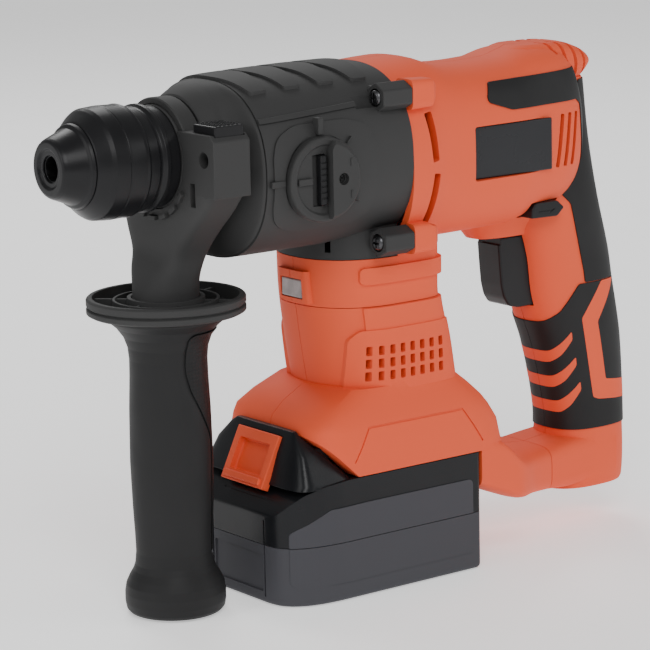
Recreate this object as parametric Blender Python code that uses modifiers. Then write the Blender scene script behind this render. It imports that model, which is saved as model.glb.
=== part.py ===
"""Cordless rotary hammer with a D-handle, a side handle and a slide-on battery.

Frame: +Z up, -X towards the chuck, -Y the tool's left side. The origin is on the battery's flat base,
in the middle plane. All sizes are in metres.
"""
import math

import bmesh
import bpy
from mathutils import Matrix, Vector

MM = 0.001

# ---------------------------------------------------------------- fits
GAP = 0.3 * MM              # between pieces that rest on or in each other
SPLIT = 0.3 * MM            # between the two halves of a shell

# ---------------------------------------------------------------- overall places
CHUCK_Z = 190 * MM          # chuck axis over the battery's base
NOSE_X = -129 * MM          # face of the dust cap
GEARBOX_NOSE_X = -79.5 * MM  # front of the gearbox's round collar
GEARBOX_SEAM_X = -53 * MM   # between gearbox nose and gearbox housing
MOTOR_SEAM_X = 21.5 * MM    # between gearbox housing and motor housing
HANDLE_REAR_X = 168.5 * MM  # back of the D-handle
HANDLE_HALF_WIDTH = 17 * MM
BAR_SEAM_X = 116 * MM       # joint in the bar under the D-handle
COLUMN_SEAM_Z = CHUCK_Z - 69.7 * MM
COLUMN_HALF_WIDTH = 29.5 * MM
SADDLE_Z = CHUCK_Z - 49.2 * MM  # underside of the gearbox on the column
WALL = 3 * MM

# ---------------------------------------------------------------- shafts and gears
SHAFT_DROP = 30 * MM        # chuck axis to intermediate shaft
MOTOR_RISE = 19 * MM        # intermediate shaft to motor shaft
INTERMEDIATE_Z = CHUCK_Z - SHAFT_DROP
MOTOR_Z = INTERMEDIATE_Z + MOTOR_RISE
SPINDLE_TEETH = 28
PINION_TEETH = 12
WHEEL_TEETH = 28
MOTOR_TEETH = 10
SPINDLE_GEAR_X = (-32 * MM, -22 * MM)
WHEEL_X = (10 * MM, 17 * MM)
SHAFT_RADIUS = 4.5 * MM
PRESSURE_ANGLE = math.radians(20)
BACKLASH = 0.12             # share of a tooth taken off its thickness

# ---------------------------------------------------------------- spindle and hammer
TOOL_BORE = 5.05 * MM       # for a 10 mm shank
SPINDLE_RADIUS = 9.3 * MM
BARREL_BORE = 12.1 * MM
BARREL_WALL = 2.5 * MM
BARREL_X = (-60 * MM, -10 * MM)
PISTON_FRONT_X = -31 * MM
PISTON_LENGTH = 10 * MM
STRIKER_LENGTH = 12 * MM
AIR_CUSHION = 3 * MM
CHAMBER_RADIUS = 8.3 * MM
CHAMBER_X = (-76 * MM, -57 * MM)
FINGER_RADIUS = 2.5 * MM
WOBBLE_X = -1 * MM
WOBBLE_RADIUS = 9 * MM
YOKE_X = (WOBBLE_X - 7 * MM, WOBBLE_X + 7 * MM)

# ---------------------------------------------------------------- chuck
COLLAR_RADIUS = 21 * MM     # gearbox collar that the side handle clamps
SLEEVE_RADIUS = 22.9 * MM
SLEEVE_X = (-117 * MM, -95 * MM)
SLEEVE_TRAVEL = 7 * MM
CHUCK_RING_RADIUS = 21.4 * MM
BALL_RADIUS = 3.2 * MM
BALL_X = -105 * MM
BEARING_RADIUS = 17.8 * MM
BEARING_X = (-75.8 * MM, -65 * MM)

# ---------------------------------------------------------------- motor
STATOR_RADIUS = 25 * MM
STATOR_X = (41 * MM, 76 * MM)
ROTOR_RADIUS = 13.5 * MM
ROTOR_SHAFT_RADIUS = 3.5 * MM
FAN_RADIUS = 24 * MM
FAN_X = (28 * MM, 36 * MM)
MOTOR_BEARING_RADIUS = 8 * MM
REAR_BEARING_X = (86 * MM, 93 * MM)

# ---------------------------------------------------------------- battery
BATTERY_X = (-43 * MM, 59 * MM)
BATTERY_HALF_WIDTH = 37.5 * MM
BATTERY_SEAM_Z = 25.3 * MM
BATTERY_DECK_Z = 51.5 * MM
BATTERY_RAIL_Z = 64.5 * MM
BATTERY_RAIL_HALF_WIDTH = 28 * MM
BATTERY_NOSE_X = -25.6 * MM
SHOULDER_REAR_X = -7.5 * MM  # where the slope that the foot rests on meets the deck
SHOULDER_Z = (51.5 * MM, 69.2 * MM)
BATTERY_WALL = 2.5 * MM
CELL_RADIUS = 9.2 * MM
CELL_LENGTH = 65 * MM
CELL_PITCH = 18.9 * MM
CELL_COLUMNS = 5
RELEASE_SLOPE = math.atan2(24, 11.5)   # of the battery's sloping front, from level
RELEASE_TOP = (-29 * MM, 0, 68.3 * MM)       # top of the release button on that slope
RELEASE_TRAVEL = 3 * MM

# ---------------------------------------------------------------- handles and controls
SIDE_X = -75.5 * MM         # side handle's axis
GUARD_RADIUS = 32.6 * MM
GUARD_Z = CHUCK_Z - 57 * MM
SIDE_GRIP_RADIUS = 17 * MM
SIDE_FOOT_Z = 0.8 * MM
SIDE_NECK_RADIUS = 13.6 * MM
BLOCK_Y = (-43 * MM, -20 * MM)
BLOCK_X = (-79.8 * MM, -62.2 * MM)
BLOCK_TOP_Z = CHUCK_Z + 12 * MM
DEPTH_HOLE = (-36 * MM, CHUCK_Z + 2 * MM)
DEPTH_HOLE_RADIUS = 3.2 * MM
DEPTH_TRAVEL = 2.5 * MM
SOCKET_DEPTH = 6 * MM       # of the strut in the guard
KNOB_CENTRE = (-27.2 * MM, CHUCK_Z - 10.3 * MM)
KNOB_RADIUS = 17.3 * MM
KNOB_SEAT_Y = -41 * MM
KNOB_SHAFT_RADIUS = 6 * MM
TRIGGER_HALF_WIDTH = 7.6 * MM
TRIGGER_TOP_Z = CHUCK_Z - 54 * MM
TRIGGER_BOTTOM_Z = CHUCK_Z - 86.5 * MM
SWITCH_BAR_Z = CHUCK_Z - 41 * MM
SWITCH_BAR_X = (101 * MM, 120 * MM)
SCREW_Y = 36 * MM
SCREW_Z = (CHUCK_Z + 18.8 * MM, CHUCK_Z - 41.3 * MM)
SCREW_X = (5 * MM, 20 * MM)
SCREW_RADIUS = 2.1 * MM
SCREW_HEAD_RADIUS = 3.3 * MM
LUG_RADIUS = 5.6 * MM
GRIP_RUBBER = 2.2 * MM
GRIP_RUBBER_Z = (44.5 * MM, CHUCK_Z - 91 * MM)
LABEL_X = (62 * MM, 108 * MM)
LABEL_Y = 28.3 * MM
LABEL_Z = (CHUCK_Z - 22.5 * MM, CHUCK_Z + 0.7 * MM)
LABEL_THICKNESS = 1.6 * MM
LENS_X = (-12.6 * MM, -6.8 * MM)
LENS_HALF_WIDTH = 7 * MM
LENS_Z = (CHUCK_Z - 66.5 * MM, CHUCK_Z - 58.5 * MM)
AIR_SLOT_X = 32.3 * MM
AIR_SLOT_WIDTH = 3.5 * MM

ROUND_STEPS = 24
LOFTED = ("upper_housing", "lower_housing", "grip_rubber", "gearbox_", "bearing_plate", "motor_plate",
          "stator", "handle_bracket", "battery_")


# ================================================================ scene, materials
def clear_scene():
    for obj in list(bpy.data.objects):
        bpy.data.objects.remove(obj)


def collection(name):
    made = bpy.data.collections.new(name)
    bpy.context.scene.collection.children.link(made)
    return made


clear_scene()
PARTS = collection("rotary_hammer")
CUTTERS = collection("cutters")


def material(name, colour, roughness, metallic=0.0):
    made = bpy.data.materials.new(name)
    made.use_nodes = True
    shader = made.node_tree.nodes["Principled BSDF"]
    shader.inputs["Base Color"].default_value = (*colour, 1.0)
    shader.inputs["Roughness"].default_value = roughness
    shader.inputs["Metallic"].default_value = metallic
    return made


RED = material("red_housing", (0.80, 0.085, 0.025), 0.42)
BLACK = material("black_nylon", (0.022, 0.023, 0.024), 0.45)
RUBBER = material("grip_rubber", (0.033, 0.034, 0.035), 0.7)
GREY = material("battery_plastic", (0.040, 0.041, 0.047), 0.5)
STEEL = material("steel", (0.55, 0.55, 0.56), 0.3, 1.0)
DARK_STEEL = material("dark_steel", (0.10, 0.10, 0.11), 0.4, 1.0)
ALUMINIUM = material("aluminium", (0.72, 0.72, 0.73), 0.4, 1.0)
COPPER = material("winding", (0.60, 0.26, 0.12), 0.45, 0.8)
LENS = material("lens", (0.85, 0.86, 0.88), 0.15)
CELL = material("cell_wrap", (0.05, 0.16, 0.42), 0.4)


# ================================================================ mesh helpers
def place(name, mesh, mat, is_cutter=False):
    """A named object for a mesh, in the parts or, hidden, among the cutters."""
    obj = bpy.data.objects.new(name, mesh)
    (CUTTERS if is_cutter else PARTS).objects.link(obj)
    mesh.materials.clear()
    mesh.materials.append(mat)
    if is_cutter:
        obj.hide_render = True
        obj.display_type = 'WIRE'
    return obj


def finish_bmesh(name, bm, mat, is_cutter=False):
    bmesh.ops.recalc_face_normals(bm, faces=bm.faces)
    mesh = bpy.data.meshes.new(name)
    bm.to_mesh(mesh)
    bm.free()
    return place(name, mesh, mat, is_cutter)


def box(name, x, y, z, mat=BLACK, is_cutter=False, bevel=0.0):
    """A box between the two values of x, y and z, its edges rounded by bevel."""
    bm = bmesh.new()
    size = Vector((x[1] - x[0], y[1] - y[0], z[1] - z[0]))
    middle = Vector((x[1] + x[0], y[1] + y[0], z[1] + z[0])) / 2
    bmesh.ops.create_cube(bm, size=1.0, matrix=Matrix.Translation(middle) @ Matrix.Diagonal((*size, 1.0)))
    obj = finish_bmesh(name, bm, mat, is_cutter)
    if bevel:
        add_bevel(obj, bevel)
    return obj


def add_bevel(obj, width, segments=2):
    modifier = obj.modifiers.new("edges", 'BEVEL')
    modifier.width = width
    modifier.segments = segments
    modifier.limit_method = 'ANGLE'
    modifier.angle_limit = math.radians(40)
    return modifier


def cylinder(name, start, end, radius, mat=BLACK, is_cutter=False, sides=ROUND_STEPS):
    """A round bar between two points."""
    start, end = Vector(start), Vector(end)
    bm = bmesh.new()
    turn = (end - start).to_track_quat('Z', 'Y').to_matrix().to_4x4()
    bmesh.ops.create_cone(bm, cap_ends=True, segments=sides, radius1=radius, radius2=radius,
                          depth=(end - start).length,
                          matrix=Matrix.Translation((start + end) / 2) @ turn)
    return finish_bmesh(name, bm, mat, is_cutter)


AXIS_TURNS = {
    'X': Matrix.Rotation(math.radians(90), 4, 'Y'),
    'Y': Matrix.Rotation(math.radians(-90), 4, 'X'),
    'Z': Matrix.Identity(4),
}


def turned(name, profile, axis, centre, mat=BLACK, is_cutter=False, steps=ROUND_STEPS):
    """A turned piece. The profile's points are (place along the axis, radius), outer side first, rising;
    a profile that starts off the axis is a ring, and closes on itself."""
    outline = [(radius, along) for along, radius in reversed(profile)]
    mesh = bpy.data.meshes.new(name)
    count = len(outline)
    edges = [(i, i + 1) for i in range(count - 1)]
    if outline[0][0] > 0:
        edges.append((count - 1, 0))
    mesh.from_pydata([(radius, 0, along) for radius, along in outline], edges, [])
    obj = place(name, mesh, mat, is_cutter)
    screw = obj.modifiers.new("turn", 'SCREW')
    screw.steps = screw.render_steps = steps
    screw.use_merge_vertices = True
    screw.merge_threshold = 0.000001
    screw.use_smooth_shade = True
    obj.matrix_world = Matrix.Translation(centre) @ AXIS_TURNS[axis]
    return obj


def loft(name, rings, mat=BLACK, is_cutter=False):
    """A closed skin through rings of the same number of points."""
    bm = bmesh.new()
    loops = [[bm.verts.new(point) for point in ring] for ring in rings]
    count = len(rings[0])
    for low, high in zip(loops, loops[1:]):
        for i in range(count):
            j = (i + 1) % count
            bm.faces.new((low[i], low[j], high[j], high[i]))
    bm.faces.new(loops[0])
    bm.faces.new(loops[-1])
    bmesh.ops.triangulate(bm, faces=bm.faces)
    return finish_bmesh(name, bm, mat, is_cutter)


def oval(half_a, half_b, power, front_power=None, count=24):
    """Points of an oval: an ellipse at power 2, nearer to a rounded rectangle above it. The half on the
    low side of the first axis can have a power of its own."""
    points = []
    for i in range(count):
        angle = 2 * math.pi * i / count
        c, s = math.cos(angle), math.sin(angle)
        share = 2 / (front_power if front_power and c < 0 else power)
        points.append((half_a * math.copysign(abs(c) ** share, c),
                       half_b * math.copysign(abs(s) ** share, s)))
    return points


def ring_x(x, half_width, low, high, power=2.0, inset=0.0):
    """A section across X, from low to high in Z, drawn in by inset."""
    centre = (low + high) / 2
    return [Vector((x, a, centre + b))
            for a, b in oval(half_width - inset, (high - low) / 2 - inset, power)]


def set_at(ring, x):
    """A section across X moved to another place along X."""
    return [Vector((x, p.y, p.z)) for p in ring]


def ring_z(z, front, rear, half_width, power=2.0, inset=0.0, front_power=None):
    """A section across Z, from front to rear in X, drawn in by inset."""
    centre = (front + rear) / 2
    return [Vector((centre + a, b, z))
            for a, b in oval((rear - front) / 2 - inset, half_width - inset, power, front_power)]


def clip_rings(rings, low, high, axis=2):
    """The stretch of a loft between two places along its axis, with new sections at its ends."""
    def section(place):
        for below, above in zip(rings, rings[1:]):
            start, end = below[0][axis], above[0][axis]
            if start <= place <= end:
                return [p.lerp(q, (place - start) / (end - start)) for p, q in zip(below, above)]
        raise ValueError("place outside the loft")
    inside = [ring for ring in rings if low < ring[0][axis] < high]
    return [section(low), *inside, section(high)]


def plate(name, outline, span, axis, mat=BLACK, is_cutter=False):
    """A flat outline given thickness: a filled 2D curve, made a mesh. On axis Y the outline is (x, z),
    on axis X it is (y, z); span is the two ends of the thickness."""
    curve = bpy.data.curves.new(name, 'CURVE')
    curve.dimensions = '2D'
    curve.fill_mode = 'BOTH'
    curve.extrude = (span[1] - span[0]) / 2
    spline = curve.splines.new('POLY')
    spline.points.add(len(outline) - 1)
    for point, (u, v) in zip(spline.points, outline):
        point.co = (u, v, 0, 1)
    spline.use_cyclic_u = True
    middle = (span[0] + span[1]) / 2
    if axis == 'Y':
        turn = Matrix(((1, 0, 0, 0), (0, 0, -1, middle), (0, 1, 0, 0), (0, 0, 0, 1)))
    else:
        turn = Matrix(((0, 0, 1, middle), (1, 0, 0, 0), (0, 1, 0, 0), (0, 0, 0, 1)))
    return curve_to_mesh(name, curve, turn, mat, is_cutter)


def curve_to_mesh(name, curve, turn, mat, is_cutter=False):
    """The mesh of a curve, its caps welded, as an object placed by turn."""
    drawn = bpy.data.objects.new(name + "_curve", curve)
    PARTS.objects.link(drawn)
    drawn.matrix_world = turn
    bpy.context.view_layer.update()
    mesh = bpy.data.meshes.new_from_object(drawn.evaluated_get(bpy.context.evaluated_depsgraph_get()))
    bm = bmesh.new()
    bm.from_mesh(mesh)
    bmesh.ops.remove_doubles(bm, verts=bm.verts, dist=0.000001)
    bmesh.ops.recalc_face_normals(bm, faces=bm.faces)
    bm.to_mesh(mesh)
    bm.free()
    obj = place(name, mesh, mat, is_cutter)
    obj.matrix_world = drawn.matrix_world
    bpy.data.objects.remove(drawn)
    return obj


def coil(name, start, end, radius, wire, turns, mat=STEEL, per_turn=8):
    """A compression spring between two points."""
    start, end = Vector(start), Vector(end)
    turn = (end - start).to_track_quat('Z', 'Y').to_matrix().to_4x4()
    curve = bpy.data.curves.new(name, 'CURVE')
    curve.dimensions = '3D'
    curve.bevel_depth = wire
    curve.bevel_resolution = 2
    curve.use_fill_caps = True
    spline = curve.splines.new('POLY')
    count = turns * per_turn + 1
    spline.points.add(count - 1)
    for i, point in enumerate(spline.points):
        angle = 2 * math.pi * i / per_turn
        along = (end - start).length * i / (count - 1)
        point.co = (radius * math.cos(angle), radius * math.sin(angle), along, 1)
    return curve_to_mesh(name, curve, Matrix.Translation(start) @ turn, mat)


def boolean(obj, tool, operation):
    """One Boolean step; the lofted pieces use the manifold solver, because the exact one leaves slits."""
    modifier = obj.modifiers.new(operation.lower(), 'BOOLEAN')
    modifier.operation = operation
    modifier.object = tool
    modifier.solver = 'MANIFOLD' if obj.name.startswith(LOFTED) else 'EXACT'
    return obj


def cut(obj, *tools):
    for tool in tools:
        boolean(obj, tool, 'DIFFERENCE')
    return obj


def join(obj, *tools):
    for tool in tools:
        boolean(obj, tool, 'UNION')
    return obj


def keep_side(obj, side):
    """Cut a shell in the middle plane and keep its left (-1) or right (1) half."""
    far = 100 * MM
    span = sorted((side * SPLIT / 2, side * far))
    reach = (NOSE_X - far, HANDLE_REAR_X + far)
    tool = box(obj.name + "_half", reach, span, (-far, CHUCK_Z + far), is_cutter=True)
    return boolean(obj, tool, 'INTERSECT')


def in_halves(name, build):
    """Left and right shells of one form; build(name) makes the whole form."""
    for side, word in ((-1, "left"), (1, "right")):
        keep_side(build(f"{name}_{word}"), side)


# ================================================================ gears
def involute(angle):
    return math.tan(angle) - angle


def gear_outline(teeth, module, addendum, root, phase, centre_z):
    """Outline (y, z) of a spur gear, with a tooth centred at the angle phase from +Y towards +Z."""
    pitch = teeth * module / 2
    base = pitch * math.cos(PRESSURE_ANGLE)
    half_tooth = math.pi / (2 * teeth) * (1 - BACKLASH) + involute(PRESSURE_ANGLE)
    flank = [(r, half_tooth - involute(math.acos(min(1.0, base / r)))) for r in (root, pitch + addendum)]
    outline = []
    for tooth in range(teeth):
        middle = phase + 2 * math.pi * tooth / teeth
        for r, half in flank:
            outline.append((r, middle - half))
        for r, half in reversed(flank):
            outline.append((r, middle + half))
    return [(r * math.cos(angle), centre_z + r * math.sin(angle)) for r, angle in outline]


def make_drive():
    """Spindle gear, intermediate shaft with its two gears, and the motor shaft with its pinion."""
    spindle_module = 2 * SHAFT_DROP / (SPINDLE_TEETH + PINION_TEETH)
    motor_module = 2 * MOTOR_RISE / (WHEEL_TEETH + MOTOR_TEETH)
    root_room = 0.35 * MM
    down, up = math.radians(-90), math.radians(90)

    gear_tip = SPINDLE_TEETH * spindle_module / 2 + 0.8 * spindle_module
    pinion_tip = PINION_TEETH * spindle_module / 2 + spindle_module
    outline = gear_outline(SPINDLE_TEETH, spindle_module, 0.8 * spindle_module,
                           SHAFT_DROP - pinion_tip - root_room, down, CHUCK_Z)
    gear = plate("spindle_gear", outline, SPINDLE_GEAR_X, 'X', STEEL)
    cut(gear, cylinder("spindle_gear_bore", (SPINDLE_GEAR_X[0] - MM, 0, CHUCK_Z),
                       (SPINDLE_GEAR_X[1] + MM, 0, CHUCK_Z),
                       BARREL_BORE + BARREL_WALL + GAP, is_cutter=True))

    outline = gear_outline(PINION_TEETH, spindle_module, spindle_module,
                           SHAFT_DROP - gear_tip - root_room, up + math.pi / PINION_TEETH, INTERMEDIATE_Z)
    pinion = plate("intermediate_pinion", outline, SPINDLE_GEAR_X, 'X', STEEL)

    wheel_tip = WHEEL_TEETH * motor_module / 2 + 0.6 * motor_module
    motor_tip = MOTOR_TEETH * motor_module / 2 + motor_module
    outline = gear_outline(WHEEL_TEETH, motor_module, 0.6 * motor_module,
                           MOTOR_RISE - motor_tip - root_room, up, INTERMEDIATE_Z)
    wheel = plate("intermediate_gear", outline, WHEEL_X, 'X', STEEL)
    for part in (pinion, wheel):
        cut(part, cylinder(part.name + "_bore", (GEARBOX_SEAM_X, 0, INTERMEDIATE_Z),
                           (MOTOR_SEAM_X, 0, INTERMEDIATE_Z), SHAFT_RADIUS + GAP, is_cutter=True, sides=24))

    shaft_front = GEARBOX_SEAM_X - 3.5 * MM
    shaft_rear = MOTOR_SEAM_X + 1.5 * MM
    cylinder("intermediate_shaft", (shaft_front, 0, INTERMEDIATE_Z), (shaft_rear, 0, INTERMEDIATE_Z),
             SHAFT_RADIUS, STEEL, sides=24)

    outline = gear_outline(MOTOR_TEETH, motor_module, motor_module,
                           MOTOR_RISE - wheel_tip - root_room, down + math.pi / MOTOR_TEETH, MOTOR_Z)
    teeth_x = (WHEEL_X[0] - 0.5 * MM, WHEEL_X[1] + 0.3 * MM)
    shaft = plate("motor_shaft", outline, teeth_x, 'X', STEEL)
    join(shaft, cylinder("motor_shaft_bar", (WHEEL_X[1], 0, MOTOR_Z),
                         (REAR_BEARING_X[1] + 2 * MM, 0, MOTOR_Z), ROTOR_SHAFT_RADIUS,
                         is_cutter=True, sides=24))


def make_wobble():
    """The wobble hub on the intermediate shaft, and the ring whose finger drives the piston."""
    turned("wobble_hub", [(WOBBLE_X - 7 * MM, WOBBLE_RADIUS), (WOBBLE_X + 7 * MM, WOBBLE_RADIUS),
                          (WOBBLE_X + 7 * MM, SHAFT_RADIUS + GAP), (WOBBLE_X - 7 * MM, SHAFT_RADIUS + GAP)],
           'X', (0, 0, INTERMEDIATE_Z), STEEL, steps=32)
    half = 4 * MM
    bore = WOBBLE_RADIUS + 1.6 * MM
    rim = bore + 2.6 * MM
    ring = turned("wobble_ring", [(-half, rim), (half, rim), (half, bore), (-half, bore)],
                  'X', (WOBBLE_X, 0, INTERMEDIATE_Z), STEEL, steps=32)
    join(ring, cylinder("wobble_finger", (WOBBLE_X, 0, INTERMEDIATE_Z + bore + MM),
                        (WOBBLE_X, 0, CHUCK_Z + 3.5 * MM), FINGER_RADIUS, is_cutter=True, sides=16))


def make_hammer():
    """Piston, striker and beat piece, one behind the other in the spindle."""
    slide_radius = BARREL_BORE - GAP
    axis = (0, 0, CHUCK_Z)
    crown_rear = PISTON_FRONT_X + PISTON_LENGTH
    piston = turned("piston", [(PISTON_FRONT_X, 0), (PISTON_FRONT_X, slide_radius),
                               (crown_rear, slide_radius), (crown_rear, 7 * MM),
                               (YOKE_X[0] + MM, 7 * MM), (YOKE_X[0] + MM, 0)], 'X', axis, STEEL, steps=32)
    join(piston, box("piston_yoke", YOKE_X, (-9 * MM, 9 * MM), (CHUCK_Z - 4 * MM, CHUCK_Z + 4 * MM),
                     is_cutter=True))
    slot = FINGER_RADIUS + 1.4 * MM
    cut(piston, box("finger_slot", (WOBBLE_X - slot, WOBBLE_X + slot),
                    (-FINGER_RADIUS - GAP, FINGER_RADIUS + GAP),
                    (CHUCK_Z - 5 * MM, CHUCK_Z + 5 * MM), is_cutter=True))

    rear = PISTON_FRONT_X - AIR_CUSHION
    front = rear - STRIKER_LENGTH
    edge = MM
    turned("striker", [(front, 0), (front, slide_radius - edge), (front + edge, slide_radius),
                       (rear - edge, slide_radius), (rear, slide_radius - edge), (rear, 0)],
           'X', axis, STEEL, steps=32)

    head = (CHAMBER_X[0] + 3 * MM, CHAMBER_X[1] - 3 * MM)
    nose = TOOL_BORE - 0.35 * MM
    turned("beat_piece", [(head[0] - 10 * MM, 0), (head[0] - 10 * MM, nose), (head[0], nose),
                          (head[0], CHAMBER_RADIUS - GAP), (head[1], CHAMBER_RADIUS - GAP),
                          (head[1], nose), (head[1] + 6.5 * MM, nose), (head[1] + 6.5 * MM, 0)],
           'X', axis, STEEL, steps=32)


def make_spindle():
    """The hollow spindle, its bearing and seal, and the ball that holds the tool's shank."""
    axis = (0, 0, CHUCK_Z)
    step_x = BEARING_X[0] - 0.4 * MM
    seat = 12 * MM
    barrel = BARREL_BORE + BARREL_WALL
    spindle = turned("spindle", [
        (NOSE_X + 2 * MM, SPINDLE_RADIUS), (step_x, SPINDLE_RADIUS), (step_x, seat),
        (BARREL_X[0], seat), (BARREL_X[0], barrel), (BARREL_X[1], barrel),
        (BARREL_X[1], BARREL_BORE), (CHAMBER_X[1], BARREL_BORE), (CHAMBER_X[1], CHAMBER_RADIUS),
        (CHAMBER_X[0], CHAMBER_RADIUS), (CHAMBER_X[0], TOOL_BORE), (NOSE_X + 2 * MM, TOOL_BORE)],
        'X', axis, DARK_STEEL)
    ball_z = CHUCK_Z + (SPINDLE_RADIUS + TOOL_BORE) / 2 + 0.4 * MM
    cut(spindle, cylinder("ball_window", (BALL_X, 0, CHUCK_Z), (BALL_X, 0, ball_z + 10 * MM),
                          BALL_RADIUS + GAP, is_cutter=True, sides=24))
    bm = bmesh.new()
    bmesh.ops.create_uvsphere(bm, u_segments=12, v_segments=8, radius=BALL_RADIUS,
                              matrix=Matrix.Translation((BALL_X, 0, ball_z)))
    finish_bmesh("locking_ball", bm, STEEL)

    front, rear = BEARING_X
    turned("spindle_bearing", [(front, BEARING_RADIUS), (rear, BEARING_RADIUS),
                               (rear, seat + GAP), (front, seat + GAP)], 'X', axis, STEEL)
    turned("oil_seal", [(GEARBOX_NOSE_X + 0.1 * MM, BEARING_RADIUS), (front - 0.8 * MM, BEARING_RADIUS),
                        (front - 0.8 * MM, SPINDLE_RADIUS + GAP),
                        (GEARBOX_NOSE_X + 0.1 * MM, SPINDLE_RADIUS + GAP)], 'X', axis, RUBBER)


def make_chuck():
    """Dust cap, pull-back sleeve, the ring it slides over, and the sleeve's spring."""
    axis = (0, 0, CHUCK_Z)
    bore = SPINDLE_RADIUS + GAP
    front, rear = SLEEVE_X
    turned("dust_cap", [
        (NOSE_X, 11.4 * MM), (NOSE_X + 1.2 * MM, 12.8 * MM), (NOSE_X + 5 * MM, 14.6 * MM),
        (NOSE_X + 9 * MM, 16.4 * MM), (front - GAP, 17.6 * MM), (front - GAP, bore),
        (NOSE_X + 1.7 * MM, bore), (NOSE_X + 1.7 * MM, TOOL_BORE + 0.4 * MM),
        (NOSE_X, TOOL_BORE + 0.4 * MM)], 'X', axis, BLACK)
    wall_rear = front + 8 * MM
    hollow = CHUCK_RING_RADIUS + 0.4 * MM
    ball_room = SPINDLE_RADIUS + 1.9 * MM
    turned("chuck_sleeve", [
        (front, 17.8 * MM), (front + 1.2 * MM, 19.0 * MM), (front + 4.6 * MM, 22.0 * MM),
        (front + 6.5 * MM, SLEEVE_RADIUS - 0.3 * MM), (rear - MM, SLEEVE_RADIUS),
        (rear, SLEEVE_RADIUS - 0.4 * MM), (rear, hollow), (wall_rear, hollow), (wall_rear, ball_room),
        (front, ball_room)], 'X', axis, BLACK)
    ring_rear = GEARBOX_NOSE_X - 0.7 * MM
    ring_front = front + 16 * MM
    turned("chuck_collar", [
        (ring_front, CHUCK_RING_RADIUS), (rear + SLEEVE_TRAVEL + 0.6 * MM, CHUCK_RING_RADIUS),
        (rear + SLEEVE_TRAVEL + 1.0 * MM, SLEEVE_RADIUS - 1.0 * MM),
        (rear + SLEEVE_TRAVEL + 2.0 * MM, SLEEVE_RADIUS - 1.0 * MM),
        (rear + SLEEVE_TRAVEL + 2.4 * MM, CHUCK_RING_RADIUS - 0.6 * MM),
        (ring_rear, CHUCK_RING_RADIUS - 0.6 * MM), (ring_rear, bore), (ring_rear - 5 * MM, bore),
        (ring_rear - 5 * MM, 18.6 * MM), (ring_front, 18.6 * MM)], 'X', axis, BLACK)
    coil("sleeve_spring", (wall_rear + 1.4 * MM, 0, CHUCK_Z), (ring_rear - 6.4 * MM, 0, CHUCK_Z),
         14.5 * MM, 0.8 * MM, 3)


# ================================================================ gearbox
def gearbox_rings(grow=0.0):
    """Sections of the gearbox housing, grown by a clearance."""
    low, high = CHUCK_Z - 44 * MM, CHUCK_Z + 30.2 * MM
    rows = ((GEARBOX_SEAM_X + GAP / 2, 41 * MM, CHUCK_Z + 28.9 * MM),
            (-44 * MM, 42 * MM, CHUCK_Z + 29.4 * MM), (-10 * MM, 42 * MM, high),
            (MOTOR_SEAM_X - GAP / 2, 41.5 * MM, high))
    return [ring_x(x, width, low, top, 2.35, -grow) for x, width, top in rows]


def nose_rings(inset=0.0):
    """Sections of the gearbox nose behind its collar."""
    axis = CHUCK_Z
    rows = ((GEARBOX_NOSE_X + 10.2 * MM, 23.5, -23.5, 23.5, 2.0), (-64 * MM, 27.0, -27.0, 27.0, 2.0),
            (-60.5 * MM, 28.2, -29.5, 28.2, 2.0), (-57 * MM, 34.0, -37.0, 28.6, 2.1),
            (GEARBOX_SEAM_X - GAP / 2, 40.6, -43.5, 28.8, 2.3))
    return [ring_x(x, half * MM, axis + low * MM, axis + high * MM, power, inset)
            for x, half, low, high, power in rows]


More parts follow.
